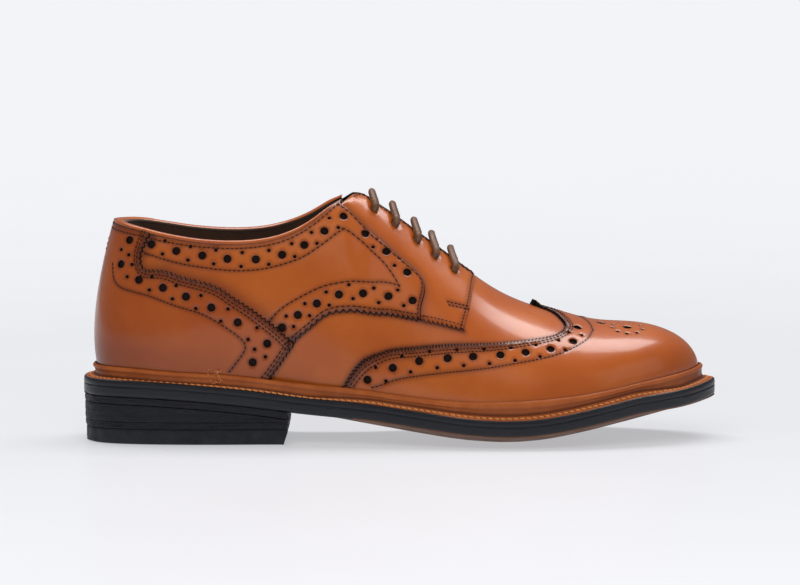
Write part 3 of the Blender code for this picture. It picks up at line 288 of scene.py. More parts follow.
def monotone(xs, ys, x):
    """Cubic through the points that keeps to their rises and falls (flat at both ends)."""
    xs = np.asarray(xs, float)
    ys = np.asarray(ys, float)
    step = np.diff(xs)
    slope = np.diff(ys) / step
    tangent = np.zeros(len(xs))
    for i in range(1, len(xs) - 1):
        if slope[i - 1] * slope[i] > 0.0:
            tangent[i] = 2.0 * slope[i - 1] * slope[i] / (slope[i - 1] + slope[i])
    i = np.clip(np.searchsorted(xs, x, side="right") - 1, 0, len(xs) - 2)
    f = (np.clip(x, xs[0], xs[-1]) - xs[i]) / step[i]
    rise = ys[i + 1] - ys[i]
    left = tangent[i] * step[i]
    right = tangent[i + 1] * step[i]
    return ys[i] + f * (left + f * (3.0 * rise - 2.0 * left - right + f * (left + right - 2.0 * rise)))


def natural(xs, ys, x):
    """Smooth natural cubic through (xs, ys)."""
    xs = np.asarray(xs, float)
    ys = np.asarray(ys, float)
    step = np.diff(xs)
    count = len(xs)
    matrix = np.eye(count)
    right = np.zeros(count)
    for i in range(1, count - 1):
        matrix[i, i - 1] = step[i - 1]
        matrix[i, i] = 2.0 * (step[i - 1] + step[i])
        matrix[i, i + 1] = step[i]
        right[i] = 6.0 * ((ys[i + 1] - ys[i]) / step[i] - (ys[i] - ys[i - 1]) / step[i - 1])
    second = np.linalg.solve(matrix, right)
    i = np.clip(np.searchsorted(xs, x, side="right") - 1, 0, count - 2)
    h = step[i]
    a = (xs[i + 1] - x) / h
    b = (x - xs[i]) / h
    curve = ((a ** 3 - a) * second[i] + (b ** 3 - b) * second[i + 1]) * h * h / 6.0
    return a * ys[i] + b * ys[i + 1] + curve


def column(table, index):
    """One column of a station table."""
    return [row[index] for row in table]


def sides_of(table, lateral, medial):
    """Loop spline of a table's lateral and medial columns."""
    return two_sided(column(table, lateral), column(table, medial))


def unit(vectors):
    """Vectors made one long."""
    return vectors / np.maximum(np.linalg.norm(vectors, axis=-1, keepdims=True), 1e-12)


def ease(x):
    """Smooth step of x from 0 to 1."""
    x = np.clip(x, 0.0, 1.0)
    return x * x * (3.0 - 2.0 * x)


# ---------------------------------------------------------------- the last's surface
SPLINE_FX = sides_of(FEATHER, 0, 0)
SPLINE_FY = sides_of(FEATHER, 1, 2)
FEATHER_Z = [row[3] - row[4] for row in FEATHER]
SPLINE_FZ = two_sided(FEATHER_Z, FEATHER_Z)
SPLINE_LIP = sides_of(FEATHER, 3, 3)
SPLINE_BULGE = sides_of(WALL, 0, 1)
SPLINE_RISE = sides_of(WALL, 2, 2)
SPLINE_CX = sides_of(CROWN, 0, 0)
SPLINE_CZ = sides_of(CROWN, 2, 2)
SPLINE_REACH = sides_of(CROWN, 3, 4)
SPLINE_EX = sides_of(SOLE_EDGE, 0, 0)
SPLINE_EY = sides_of(SOLE_EDGE, 1, 2)
STATIONS = np.arange(TIP + 1.0)


def fold(t):
    """Station along one side, and that side's sign, of loop parameters."""
    t = np.mod(np.asarray(t, float), LOOP)
    side = np.where(t <= TIP, -1.0, 1.0)
    return np.where(t <= TIP, t, LOOP - t), side, t


def looped(s, side):
    """Loop parameters of stations on one side."""
    return s if side < 0 else LOOP - s


def centre_swing(x):
    """Medial shift of the last's centre line at x."""
    return TOE_SWING * ease((x - 170.0) / 92.0)


def feather_point(t):
    """Feather edge of the last."""
    t = np.atleast_1d(np.mod(t, LOOP))
    return np.stack([loop_value(SPLINE_FX, t), loop_value(SPLINE_FY, t), loop_value(SPLINE_FZ, t)], 1)


def last_point(t, v):
    """Points of the last at loop parameters t and heights v."""
    s, side, t = fold(t)
    v = np.asarray(v, float)[:, None]
    fan = np.radians(monotone(STATIONS, column(CROWN, 6), s))
    out = np.stack([np.sin(fan), side * np.cos(fan), -TOE_SLOPE * np.maximum(np.sin(fan), 0.0)], 1)
    flat = out * np.array([1.0, 1.0, 0.0])
    foot = feather_point(t)
    low = foot + flat * loop_value(SPLINE_BULGE, t)[:, None]
    low[:, 2] += loop_value(SPLINE_RISE, t)
    crown_x = loop_value(SPLINE_CX, t)
    half = monotone(STATIONS, column(CROWN, 1), s)
    collar = np.clip(s / 3.0, 0.0, 1.0) * np.clip((RIDGE_START - s) / 3.0, 0.0, 1.0)
    raise_z = np.where(side > 0.0, COLLAR_RISE * collar ** 2 * (3.0 - 2.0 * collar), 0.0)
    crown = np.stack([crown_x, centre_swing(crown_x) + side * half,
                      loop_value(SPLINE_CZ, t) + raise_z], 1)
    high = crown + out * loop_value(SPLINE_REACH, t)[:, None]
    high[:, 2] -= monotone(STATIONS, column(CROWN, 5), s)
    w = 1.0 - v
    return w ** 3 * foot + 3.0 * w * w * v * low + 3.0 * w * v * v * high + v ** 3 * crown


def last_normal(t, v):
    """Outward unit normals of the last."""
    t = np.asarray(t, float)
    v = np.clip(np.asarray(v, float), 0.0, 0.995)
    step = 0.01
    along = last_point(t + step, v) - last_point(t - step, v)
    up = last_point(t, v + 0.004) - last_point(t, v - 0.004)
    return unit(np.cross(along, up))


def on_last(t, v, level):
    """Points at a level over the last, in table millimetres."""
    t, v, level = np.broadcast_arrays(*(np.atleast_1d(np.asarray(a, float)) for a in (t, v, level)))
    return last_point(t, v) + last_normal(t, v) * level[:, None]


def to_frame(points):
    """Table millimetres to metres of the shoe's frame."""
    return (np.asarray(points, float) + np.array([BACK_X, 0.0, 0.0])) * MM


def seen(line, level=CAP_LEVEL):
    """Loop parameters t, v of lateral points that a side view shows at x, z."""
    line = np.array(line, float)
    grid_t, grid_v = np.meshgrid(np.arange(0.25, TIP, 0.25), np.arange(0.05, 1.0, 0.05))
    grid = on_last(grid_t.ravel(), grid_v.ravel(), level)[:, ::2]
    best = np.argmin(((line[:, None, :] - grid[None]) ** 2).sum(2), 1)
    t = grid_t.ravel()[best].copy()
    v = grid_v.ravel()[best].copy()
    for _ in range(14):
        here = on_last(t, v, level)
        dt = (on_last(t + 0.01, v, level) - here) / 0.01
        dv = (on_last(t, v + 0.001, level) - here) / 0.001
        want = line - here[:, ::2]
        det = dt[:, 0] * dv[:, 2] - dv[:, 0] * dt[:, 2]
        move_t = (want[:, 0] * dv[:, 2] - dv[:, 0] * want[:, 1]) / det
        move_v = (dt[:, 0] * want[:, 1] - want[:, 0] * dt[:, 2]) / det
        t += np.clip(move_t, -0.5, 0.5)
        v = np.clip(v + np.clip(move_v, -0.1, 0.1), 0.0, 1.0)
    return t, v


def mirror_seen(points, side, level=CAP_LEVEL):
    """Loop parameters of side-view points, on either side."""
    t, v = seen(points, level)
    return looped(t, side), v


def crown_at(x, first=0.0, last=float(TIP)):
    """Parameter at which the topline or ridge passes x."""
    ts = np.linspace(first, last, 1200)
    return float(ts[np.argmin(np.abs(loop_value(SPLINE_CX, ts) - x))])


def foot_at(x):
    """Parameter at which the feather edge passes x."""
    ts = np.linspace(0.0, float(TIP), 1200)
    return float(ts[np.argmin(np.abs(loop_value(SPLINE_FX, ts) - x))])


# ---------------------------------------------------------------- spreading the last flat
FINE_T = np.linspace(0.0, TIP, 1701)
FINE_CX = loop_value(SPLINE_CX, FINE_T)
FINE_HALF = monotone(STATIONS, column(CROWN, 1), FINE_T)
FINE_FAN = np.radians(monotone(STATIONS, column(CROWN, 6), FINE_T))
COLUMN_T = np.linspace(0.0, TIP, TIP * 8 + 1)
RUNGS = np.linspace(1.0, 0.0, 41)


def column_lengths(side):
    """Lengths down each column of one side, from its top to each rung."""
    table = []
    for s in COLUMN_T:
        t = s if side < 0 else LOOP - s
        points = last_point(np.full(len(RUNGS), t), RUNGS)
        steps = np.linalg.norm(np.diff(points, axis=0), axis=1)
        table.append(np.concatenate([[0.0], np.cumsum(steps)]))
    return np.array(table)


LENGTHS = {-1: column_lengths(-1), 1: column_lengths(1)}


def rung_lengths(s, side):
    """Column lengths interpolated at stations s."""
    cell = np.clip(s * 8.0, 0.0, len(COLUMN_T) - 1.001)
    i = cell.astype(int)
    f = (cell - i)[:, None]
    lateral = LENGTHS[-1][i] * (1.0 - f) + LENGTHS[-1][i + 1] * f
    medial = LENGTHS[1][i] * (1.0 - f) + LENGTHS[1][i + 1] * f
    return np.where(side[:, None] < 0.0, lateral, medial)


def spread(t, v):
    """Flat pattern points of loop parameters."""
    t, v = np.broadcast_arrays(np.atleast_1d(np.asarray(t, float)), np.atleast_1d(np.asarray(v, float)))
    s, side, _ = fold(t)
    lengths = rung_lengths(s, side)
    cell = np.clip((1.0 - v) * (len(RUNGS) - 1), 0.0, len(RUNGS) - 1.001)
    i = cell.astype(int)
    rows = np.arange(len(s))
    rho = lengths[rows, i] * (1.0 - (cell - i)) + lengths[rows, i + 1] * (cell - i)
    fan = np.interp(s, FINE_T, FINE_FAN)
    p = np.interp(s, FINE_T, FINE_CX) + rho * np.sin(fan)
    q = side * (np.interp(s, FINE_T, FINE_HALF) + rho * np.cos(fan))
    return np.stack([p, q], 1)


def gather(flat):
    """Loop parameters t, v of flat pattern points."""
    p = flat[:, 0]
    q = np.abs(flat[:, 1])
    side = np.where(flat[:, 1] > 0.0, 1.0, -1.0)
    low = np.zeros(len(p))
    high = np.full(len(p), float(TIP))
    for _ in range(34):
        middle = 0.5 * (low + high)
        fan = np.interp(middle, FINE_T, FINE_FAN)
        turn = ((p - np.interp(middle, FINE_T, FINE_CX)) * np.cos(fan)
                - (q - np.interp(middle, FINE_T, FINE_HALF)) * np.sin(fan))
        low = np.where(turn > 0.0, middle, low)
        high = np.where(turn > 0.0, high, middle)
    s = 0.5 * (low + high)
    fan = np.interp(s, FINE_T, FINE_FAN)
    rho = ((p - np.interp(s, FINE_T, FINE_CX)) * np.sin(fan)
           + (q - np.interp(s, FINE_T, FINE_HALF)) * np.cos(fan))
    lengths = rung_lengths(s, side)
    rho = np.clip(rho, 0.0, lengths[:, -1] - 1e-6)
    i = np.clip((lengths <= rho[:, None]).sum(1) - 1, 0, len(RUNGS) - 2)
    rows = np.arange(len(s))
    f = (rho - lengths[rows, i]) / (lengths[rows, i + 1] - lengths[rows, i])
    v = 1.0 - (i + f) / (len(RUNGS) - 1)
    return np.where(side < 0.0, s, np.mod(LOOP - s, LOOP)), v


def lift(flat, level):
    """Points over the last at flat pattern points."""
    t, v = gather(flat)
    return on_last(t, v, level)


def resample(line, step):
    """Smooth curve through a line's points, at even steps."""
    line = np.asarray(line, float)
    run = np.concatenate([[0.0], np.cumsum(np.linalg.norm(np.diff(line, axis=0), axis=1))])
    count = max(2, int(round(run[-1] / step)) + 1)
    at = np.linspace(0.0, run[-1], count)
    return np.stack([natural(run, line[:, k], at) for k in range(line.shape[1])], 1)


def pattern(points, side, level=CAP_LEVEL, step=0.9):
    """A side-view line as a smooth flat line on one side of the shoe."""
    flat = spread(*mirror_seen(points, side, level))
    return resample(flat, step) if step else flat


def edge_line(first, last, v, step=0.2):
    """Flat line along the last at one height."""
    ts = np.linspace(first, last, max(2, int(abs(last - first) / step)))
    return spread(ts, np.full(len(ts), v))


def left_of(line):
    """Unit vectors to the left of a flat line's run."""
    run = unit(np.gradient(line, axis=0))
    return np.stack([-run[:, 1], run[:, 0]], 1)


def pinked(line, pitch, depth):
    """A line cut into teeth."""
    fine = resample(line, pitch / 2.0)
    if len(fine) % 2 == 0:
        fine = resample(line, np.linalg.norm(np.diff(fine, axis=0), axis=1).sum() / len(fine))
    swing = np.where(np.arange(len(fine)) % 2 == 0, -0.5, 0.5) * depth
    swing[0] = 0.0
    swing[-1] = 0.0
    return fine + left_of(fine) * swing[:, None]


def shifted(line, distance):
    """A line moved to its left."""
    return line + left_of(line) * distance


def between(spots):
    """Pairs of small punches between neighbouring large ones."""
    middle = 0.5 * (spots[1:] + spots[:-1])
    run = unit(spots[1:] - spots[:-1])
    side = np.stack([-run[:, 1], run[:, 0]], 1) * PAIR_OFFSET
    return np.vstack([middle + side, middle - side])


# ---------------------------------------------------------------- mesh helpers
def make_object(name, points, faces, stuffs, smooth_angle=50.0, face_stuff=None):
    """Object from table millimetres; faces keep their winding."""
    mesh = bpy.data.meshes.new(name)
    mesh.from_pydata([tuple(p) for p in to_frame(points)], [], [tuple(int(i) for i in f) for f in faces])
    for stuff in stuffs:
        mesh.materials.append(stuff)
    if face_stuff is not None:
        mesh.polygons.foreach_set("material_index", np.asarray(face_stuff, np.int32))
    mesh.validate()
    mesh.shade_smooth()
    mesh.set_sharp_from_angle(angle=math.radians(smooth_angle))
    made = bpy.data.objects.new(name, mesh)
    bpy.context.scene.collection.objects.link(made)
    return made


def paint(made, name, values):
    """Store one number per point for the materials."""
    layer = made.data.attributes.new(name, "FLOAT", "POINT")
    layer.data.foreach_set("value", np.asarray(values, np.float32))


def in_outline(points, outline):
    """Which points lie in a closed outline."""
    hit = np.zeros(len(points), bool)
    x = points[:, 0]
    y = points[:, 1]
    following = np.roll(outline, -1, axis=0)
    for (ax, ay), (bx, by) in zip(outline, following):
        if ay == by:
            continue
        crosses = ((ay > y) != (by > y)) & (x < (bx - ax) * (y - ay) / (by - ay) + ax)
        hit ^= crosses
    return hit


def distance_to(points, line):
    """Distance of each point to a flat line."""
    best = np.full(len(points), 1e9)
    for a, b in zip(line[:-1], line[1:]):
        run = b - a
        size = max(float(run @ run), 1e-12)
        f = np.clip(((points - a) @ run) / size, 0.0, 1.0)
        gap = points - a - f[:, None] * run
        best = np.minimum(best, (gap ** 2).sum(1))
    return np.sqrt(best)


def spot_shape(centre, count):
    """Flat offsets that make a unit circle on the last at a flat point, and their inverse."""
    centre = np.asarray(centre, float)
    probe = centre + np.array([[0.6, 0.0], [-0.6, 0.0], [0.0, 0.6], [0.0, -0.6]])
    spots = lift(probe, 1.0)
    a = (spots[0] - spots[1]) / 1.2
    b = (spots[2] - spots[3]) / 1.2
    gram = np.array([[a @ a, a @ b], [a @ b, b @ b]])
    values, vectors = np.linalg.eigh(gram)
    shrink = vectors @ np.diag(1.0 / np.sqrt(values)) @ vectors.T
    angles = np.linspace(0.0, 2.0 * np.pi, count, endpoint=False)
    return np.stack([np.cos(angles), np.sin(angles)], 1) @ shrink, gram


def hole_distance(points, hole):
    """Distance of flat points from a hole's centre, measured on the last."""
    centre, gram, _ = hole
    away = points - centre
    return np.sqrt(np.einsum("ij,jk,ik->i", away, gram, away))


def border_of(faces):
    """Directed edges that only one of the faces has."""
    ends = np.concatenate([faces[:, [0, 1]], faces[:, [1, 2]], faces[:, [2, 0]]])
    _, index, times = np.unique(np.sort(ends, 1), axis=0, return_index=True, return_counts=True)
    return ends[index[times == 1]]


def dent(distance, width):
    """Bell curve of a distance, one at its middle."""
    return np.exp(-(distance / width) ** 2)


def runs_left(outline):
    """Whether a closed flat outline runs anticlockwise."""
    following = np.roll(outline, -1, axis=0)
    return (outline[:, 0] * following[:, 1] - outline[:, 1] * following[:, 0]).sum() > 0.0


class Panel:
    """A leather piece cut flat, with punched holes and pressed stitch lines."""

    def __init__(self, name, outline, level, thick, spacing=1.25, rim_drop=0.3, flare=0.0):
        outline = np.asarray(outline, float)
        outline = outline[np.linalg.norm(outline - np.roll(outline, 1, 0), axis=1) > 0.02]
        self.outline = outline if runs_left(outline) else outline[::-1]
        self.name = name
        self.level = level
        self.thick = thick
        self.spacing = spacing
        self.rim_drop = rim_drop
        self.flare = flare
        self.holes = []
        self.cuts = []
        self.rows = []
        self.extra_level = None
        self.extra_burnish_and_shade = None

    def closed(self):
        """The outline with its first point again at its end."""
        return np.vstack([self.outline, self.outline[:1]])

    def punch(self, spots, radius):
        """Punch round holes."""
        self.holes += [(np.asarray(spot, float), radius) for spot in spots]

    def stitch(self, *rows):
        """Stitch rows that press into the leather."""
        self.rows += rows

    def shoulder(self):
        """Points just inside the outline, where the rim's rounding begins."""
        inward = np.roll(self.outline, -1, 0) - np.roll(self.outline, 1, 0)
        inward = unit(np.stack([-inward[:, 1], inward[:, 0]], 1))
        shoulder = self.outline + inward * RIM_WIDTH
        shoulder = shoulder[in_outline(shoulder, self.outline)]
        return shoulder[distance_to(shoulder, self.closed()) > 0.5 * RIM_WIDTH]

    def grid(self):
        """Even triangular grid inside the outline, clear of the rim and the holes."""
        low = self.outline.min(0)
        high = self.outline.max(0)
        ys = np.arange(low[1], high[1], self.spacing * math.sqrt(3.0) / 2.0)
        xs = np.arange(low[0], high[0], self.spacing)
        grid = np.stack(np.meshgrid(xs, ys), 2)
        grid[1::2, :, 0] += self.spacing / 2.0
        grid = grid.reshape(-1, 2)
        clear = 0.4 * self.spacing
        grid = grid[in_outline(grid, self.outline)]
        grid = grid[distance_to(grid, self.closed()) > RIM_WIDTH + clear]
        for cut in self.cuts:
            grid = grid[hole_distance(grid, cut) > cut[2] + HOLE_RIM + clear]
        return grid

    def seeds(self):
        """Points to mesh, how far each is under the face, and the edges that must stay."""
        count = len(self.outline)
        points = [self.outline]
        drops = [np.full(count, self.rim_drop)]
        edges = [(i, (i + 1) % count) for i in range(count)]
        start = count
        for centre, radius in self.holes:
            sides = 20 if radius > 1.2 else 12
            shape, gram = spot_shape(centre, sides)
            points += [centre + shape * radius, centre + shape * (radius + HOLE_RIM)]
            drops += [np.full(sides, self.rim_drop), np.full(sides, 0.03)]
            edges += [(start + i, start + (i + 1) % sides) for i in range(sides)]
            start += 2 * sides
            self.cuts.append((centre, gram, radius))
        shoulder = self.shoulder()
        grid = self.grid()
        points += [shoulder, grid]
        drops += [np.full(len(shoulder), 0.05), np.zeros(len(grid))]
        return np.vstack(points), np.concatenate(drops), edges

    def triangles(self):
        """Flat points, their drops, which are on the outline, and the faces between them."""
        seeds, drop, edges = self.seeds()
        made, _, faces, origin, _, _ = geometry.delaunay_2d_cdt(
            [Vector(p) for p in seeds], edges, [], 0, 1e-4)
        flat = np.array([(p.x, p.y) for p in made])
        drop = np.array([max(drop[i] for i in source) if source else self.rim_drop
                         for source in origin])
        on_rim = np.array([not source or min(source) < len(self.outline) for source in origin])
        faces = np.array([tuple(f) for f in faces if len(f) == 3])
        middle = flat[faces].mean(1)
        keep = in_outline(middle, self.outline)
        for cut in self.cuts:
            keep &= hole_distance(middle, cut) >= 0.99 * cut[2]
        used, faces = np.unique(faces[keep], return_inverse=True)
        faces = faces.reshape(-1, 3)
        flat = flat[used]
        corner, second, third = flat[faces].transpose(1, 0, 2)
        turned = np.cross(second - corner, third - corner) < 0.0
        faces[turned] = faces[turned][:, ::-1]
        return flat, drop[used], on_rim[used], faces

    def relief(self, flat, drop, edge_burnish_and_shade):
        """Level and darkening of each point (burnish, and painted shade along its edges, pressed rows
        and hole rims): pressed rows, rims and the piece's own shaping.
        """
        level = self.level - drop
        # Darker near the outline, along the pressed rows and round the hole rims: burnish together with
        # painted shade.
        burnish_and_shade = dent(distance_to(flat, self.closed()), 1.6) * edge_burnish_and_shade
        for row in self.rows:
            gap = distance_to(flat, row)
            level = level - ROW_DEPTH * dent(gap, 0.75)
            burnish_and_shade = np.maximum(burnish_and_shade, 0.55 * dent(gap, 1.1))
        for cut in self.cuts:
            rim = np.maximum(hole_distance(flat, cut) - cut[2], 0.0)
            burnish_and_shade = np.maximum(burnish_and_shade, 0.5 * dent(rim, 0.7))
        if self.extra_level is not None:
            level = level + self.extra_level(flat)
        if self.extra_burnish_and_shade is not None:
            burnish_and_shade = burnish_and_shade + self.extra_burnish_and_shade(flat)
        return level, burnish_and_shade

    def underside(self, flat, on_rim, border):
        """Inner face, spread at the outline so that the cut edge shows."""
        out = np.zeros_like(flat)
        run = unit(flat[border[:, 1]] - flat[border[:, 0]])
        for ends in border.T:
            np.add.at(out, ends, np.stack([run[:, 1], -run[:, 0]], 1))
        return lift(flat + unit(out) * (self.flare * on_rim)[:, None], self.level - self.thick)

    def build(self, stuffs, edge_burnish_and_shade=0.5):
        """Mesh of the piece: outer face, inner face and walls."""
        flat, drop, on_rim, faces = self.triangles()
        level, burnish_and_shade = self.relief(flat, drop, edge_burnish_and_shade)
        border = border_of(faces)
        points = np.vstack([lift(flat, level), self.underside(flat, on_rim, border)])
        size = len(flat)
        walls = np.stack([border[:, 1], border[:, 0], border[:, 0] + size, border[:, 1] + size], 1)
        every = [tuple(f) for f in faces] + [tuple(f[::-1] + size) for f in faces]
        every += [tuple(w) for w in walls]
        stuff = [0] * len(faces) + [1] * len(faces) + [len(stuffs) - 1] * len(walls)
        made = make_object(self.name, points, every, stuffs, 50.0, stuff)
        # The inner face is painted 0.4 darker, so the cut edge's walls darken towards their underside as
        # painted shade.
        paint(made, "burnish_and_shade", np.concatenate([burnish_and_shade, burnish_and_shade + 0.4]))
        return made


def tube_faces(ring, size):
    """Faces from one ring of a tube to the next."""
    faces = []
    for k in range(size):
        a = ring * size + k
        b = ring * size + (k + 1) % size
        faces.append((a, b, b + size, a + size))
    return faces


def check_winding(made):
    """Turn a closed piece's faces outward."""
    shape = bmesh.new()
    shape.from_mesh(made.data)
    bmesh.ops.recalc_face_normals(shape, faces=shape.faces)
    shape.to_mesh(made.data)
    shape.free()
    return made


# ---------------------------------------------------------------- materials
class Shader:
    """Node material with short calls for its parts."""

    def __init__(self, name, roughness=0.5, **sockets):
        self.made = bpy.data.materials.new(name)
        self.made.use_nodes = True
        self.tree = self.made.node_tree
        self.surface = self.tree.nodes["Principled BSDF"]
        self.surface.inputs["Roughness"].default_value = roughness
        for key, value in sockets.items():
            socket = key.replace("_", " ").title().replace("Ior", "IOR")
            self.surface.inputs[socket].default_value = value
        self.place = self.tree.nodes.new("ShaderNodeTexCoord").outputs["Object"]

    def link(self, a, b):
        """Join an output to an input."""
        self.tree.links.new(a, b)

    def put(self, socket, value):
        """Give an input a number, a colour or an output."""
        if isinstance(value, (int, float)):
            socket.default_value = value
        elif isinstance(value, tuple):
            socket.default_value = (*value, 1.0) if len(value) == 3 else value
        else:
            self.link(value, socket)

    def stretched(self, scale):
        """Object position scaled by axis."""
        node = self.tree.nodes.new("ShaderNodeMapping")
        node.inputs["Scale"].default_value = scale
        self.link(self.place, node.inputs["Vector"])
        return node.outputs["Vector"]

    def noise(self, scale, detail=4.0, rough=0.55, place=None):
        """Noise of a given scale per metre."""
        node = self.tree.nodes.new("ShaderNodeTexNoise")
        node.inputs["Scale"].default_value = scale
        node.inputs["Detail"].default_value = detail
        node.inputs["Roughness"].default_value = rough
        self.link(place or self.place, node.inputs["Vector"])
        return node.outputs["Fac"]

    def cells(self, scale, feature="F1", place=None):
        """Cell distances of a given scale per metre."""
        node = self.tree.nodes.new("ShaderNodeTexVoronoi")
        node.feature = feature
        node.inputs["Scale"].default_value = scale
        self.link(place or self.place, node.inputs["Vector"])
        return node.outputs["Distance"]

    def axis(self, letter):
        """One coordinate of the object position."""
        node = self.tree.nodes.new("ShaderNodeSeparateXYZ")
        self.link(self.place, node.inputs["Vector"])
        return node.outputs[letter]

    def falloff(self, centre, reach):
        """Share of light from a lamp at height reach over a point of the floor."""
        node = self.tree.nodes.new("ShaderNodeVectorMath")
        node.operation = "DISTANCE"
        self.link(self.place, node.inputs[0])
        node.inputs[1].default_value = centre
        far = self.sum(self.sum(node.outputs["Value"], 1.0 / reach, "MULTIPLY"), 2.0, "POWER")
        return self.sum(self.sum(far, 1.0), -2.0, "POWER")

    def span(self, value, low, high, to_low=0.0, to_high=1.0):
        """Value taken from one range to another and clamped."""
        node = self.tree.nodes.new("ShaderNodeMapRange")
        self.link(value, node.inputs["Value"])
        ends = {"From Min": low, "From Max": high, "To Min": to_low, "To Max": to_high}
        for key, number in ends.items():
            node.inputs[key].default_value = number
        return node.outputs["Result"]

    def mix(self, share, a, b, blend="MIX"):
        """Colour between a and b."""
        node = self.tree.nodes.new("ShaderNodeMix")
        node.data_type = "RGBA"
        node.blend_type = blend
        self.put(node.inputs["Factor"], share)
        self.put(node.inputs[6], a)
        self.put(node.inputs[7], b)
        return node.outputs[2]

    def sum(self, a, b, operation="ADD"):
        """Arithmetic of two values."""
        node = self.tree.nodes.new("ShaderNodeMath")
        node.operation = operation
        self.put(node.inputs[0], a)
        self.put(node.inputs[1], b)
        return node.outputs[0]

    def attribute(self, name):
        """A painted number."""
        node = self.tree.nodes.new("ShaderNodeAttribute")
        node.attribute_name = name
        return node.outputs["Fac"]

    def bump(self, height, distance, strength=1.0, under=None):
        """Bump of a height in millimetres of depth."""
        node = self.tree.nodes.new("ShaderNodeBump")
        node.inputs["Distance"].default_value = distance * MM
        node.inputs["Strength"].default_value = strength
        self.link(height, node.inputs["Height"])
        if under is not None:
            self.link(under, node.inputs["Normal"])
        return node.outputs["Normal"]

    def finish(self, colour=None, roughness=None, normal=None):
        """Connect the shader's own inputs."""
        if colour is not None:
            self.put(self.surface.inputs["Base Color"], colour)
        if roughness is not None:
            self.put(self.surface.inputs["Roughness"], roughness)
        if normal is not None:
            self.link(normal, self.surface.inputs["Normal"])
        return self.made


def burnished_leather(name, mid, deep, bright):
    """Polished calf: mottled dye, darker at seams and edges by burnish and painted shade, fine pores and
    a wax gloss.
    """
    s = Shader(name, 0.42, coat_weight=0.5, coat_roughness=0.15, specular_ior_level=0.25)
    cloud = s.noise(28.0, 3.0, 0.5)
    fine = s.noise(240.0, 5.0, 0.6)
    base = s.mix(s.span(cloud, 0.35, 0.68), mid, bright)
    base = s.mix(s.span(fine, 0.35, 0.75, 0.0, 0.35), base, mid)
    # Darker by the painted number: burnish, and painted shade along edges, rows, hole rims and
    # overlapping pieces.
    base = s.mix(s.span(s.attribute("burnish_and_shade"), 0.0, 1.0, 0.0, 0.96), base, deep)
    pores = s.cells(1500.0)
    base = s.mix(s.span(pores, 0.0, 0.18, 0.22, 0.0), base, deep)
    grain = s.cells(900.0, "DISTANCE_TO_EDGE")
    wear = s.noise(90.0, 6.0, 0.65)
    relief = s.bump(s.span(grain, 0.0, 0.12), 0.018, 0.4)
    relief = s.bump(wear, 0.12, 0.35, relief)
    relief = s.bump(s.noise(14.0, 2.0, 0.5), 0.8, 0.3, relief)
    gloss = s.span(s.sum(wear, s.attribute("burnish_and_shade"), "ADD"), 0.3, 1.1, 0.28, 0.5)
    return s.finish(base, gloss, relief)


def raw_leather(name, mid, deep, roughness=0.6):
    """Vegetable-tanned leather with fibres and stains, darker where it is burnished and where painted
    shade is laid on.
    """
    s = Shader(name, roughness, specular_ior_level=0.25)
    base = s.mix(s.span(s.noise(60.0, 5.0, 0.6), 0.3, 0.7), mid, deep)
    base = s.mix(s.span(s.noise(700.0, 4.0, 0.7), 0.3, 0.75, 0.0, 0.5), base, deep)
    # Deep colour for burnish and for painted shade in hollows and under cut edges.
    burnish_and_shade_colour = tuple(0.18 * c for c in deep)
    base = s.mix(s.span(s.attribute("burnish_and_shade"), 0.0, 1.0, 0.0, 0.95), base, burnish_and_shade_colour)
    relief = s.bump(s.noise(900.0, 5.0, 0.7), 0.12, 0.6)
    return s.finish(base, s.span(s.noise(120.0), 0.3, 0.7, roughness - 0.1, roughness + 0.12), relief)


def dressed_edge(name):
    """Black-dyed and waxed sole edge with the fine lines of the edge iron."""
    s = Shader(name, 0.45, coat_weight=0.1, coat_roughness=0.3, specular_ior_level=0.35)
    lines = s.noise(260.0, 4.0, 0.6, s.stretched((0.25, 0.25, 6.0)))
    base = s.mix(s.span(lines, 0.3, 0.75), (0.004, 0.005, 0.008), (0.012, 0.012, 0.017))
    base = s.mix(s.span(s.noise(45.0, 6.0, 0.7), 0.62, 0.8, 0.0, 0.35), base, (0.03, 0.029, 0.034))
    relief = s.bump(lines, 0.16, 0.7)
    relief = s.bump(s.noise(420.0, 3.0, 0.6), 0.09, 0.5, relief)
    return s.finish(base, s.span(lines, 0.3, 0.8, 0.34, 0.6), relief)


def stacked_heel(name):
    """Black-dyed leather lifts: rough layers with scuffs."""
    s = Shader(name, 0.65, specular_ior_level=0.3)
    layers = s.noise(300.0, 6.0, 0.7, s.stretched((0.12, 0.12, 5.0)))
    scuff = s.noise(170.0, 7.0, 0.75, s.stretched((0.6, 0.6, 1.8)))
    base = s.mix(s.span(layers, 0.3, 0.75), (0.004, 0.0045, 0.007), (0.014, 0.014, 0.018))
    base = s.mix(s.span(scuff, 0.56, 0.76, 0.0, 0.5), base, (0.045, 0.042, 0.045))
    relief = s.bump(layers, 0.5, 0.8)
    relief = s.bump(scuff, 0.4, 0.7, relief)
    return s.finish(base, s.span(scuff, 0.3, 0.8, 0.42, 0.78), relief)


def black_rubber(name):
    """Matt moulded rubber with dust and fine wear."""
    s = Shader(name, 0.62, specular_ior_level=0.4)
    base = s.mix(s.span(s.noise(90.0, 6.0, 0.7), 0.4, 0.8), (0.006, 0.007, 0.011), (0.018, 0.018, 0.023))
    relief = s.bump(s.noise(1100.0, 3.0, 0.6), 0.07, 0.6)
    relief = s.bump(s.noise(150.0, 5.0, 0.7), 0.2, 0.5, relief)
    return s.finish(base, s.span(s.noise(200.0, 4.0), 0.3, 0.7, 0.5, 0.75), relief)


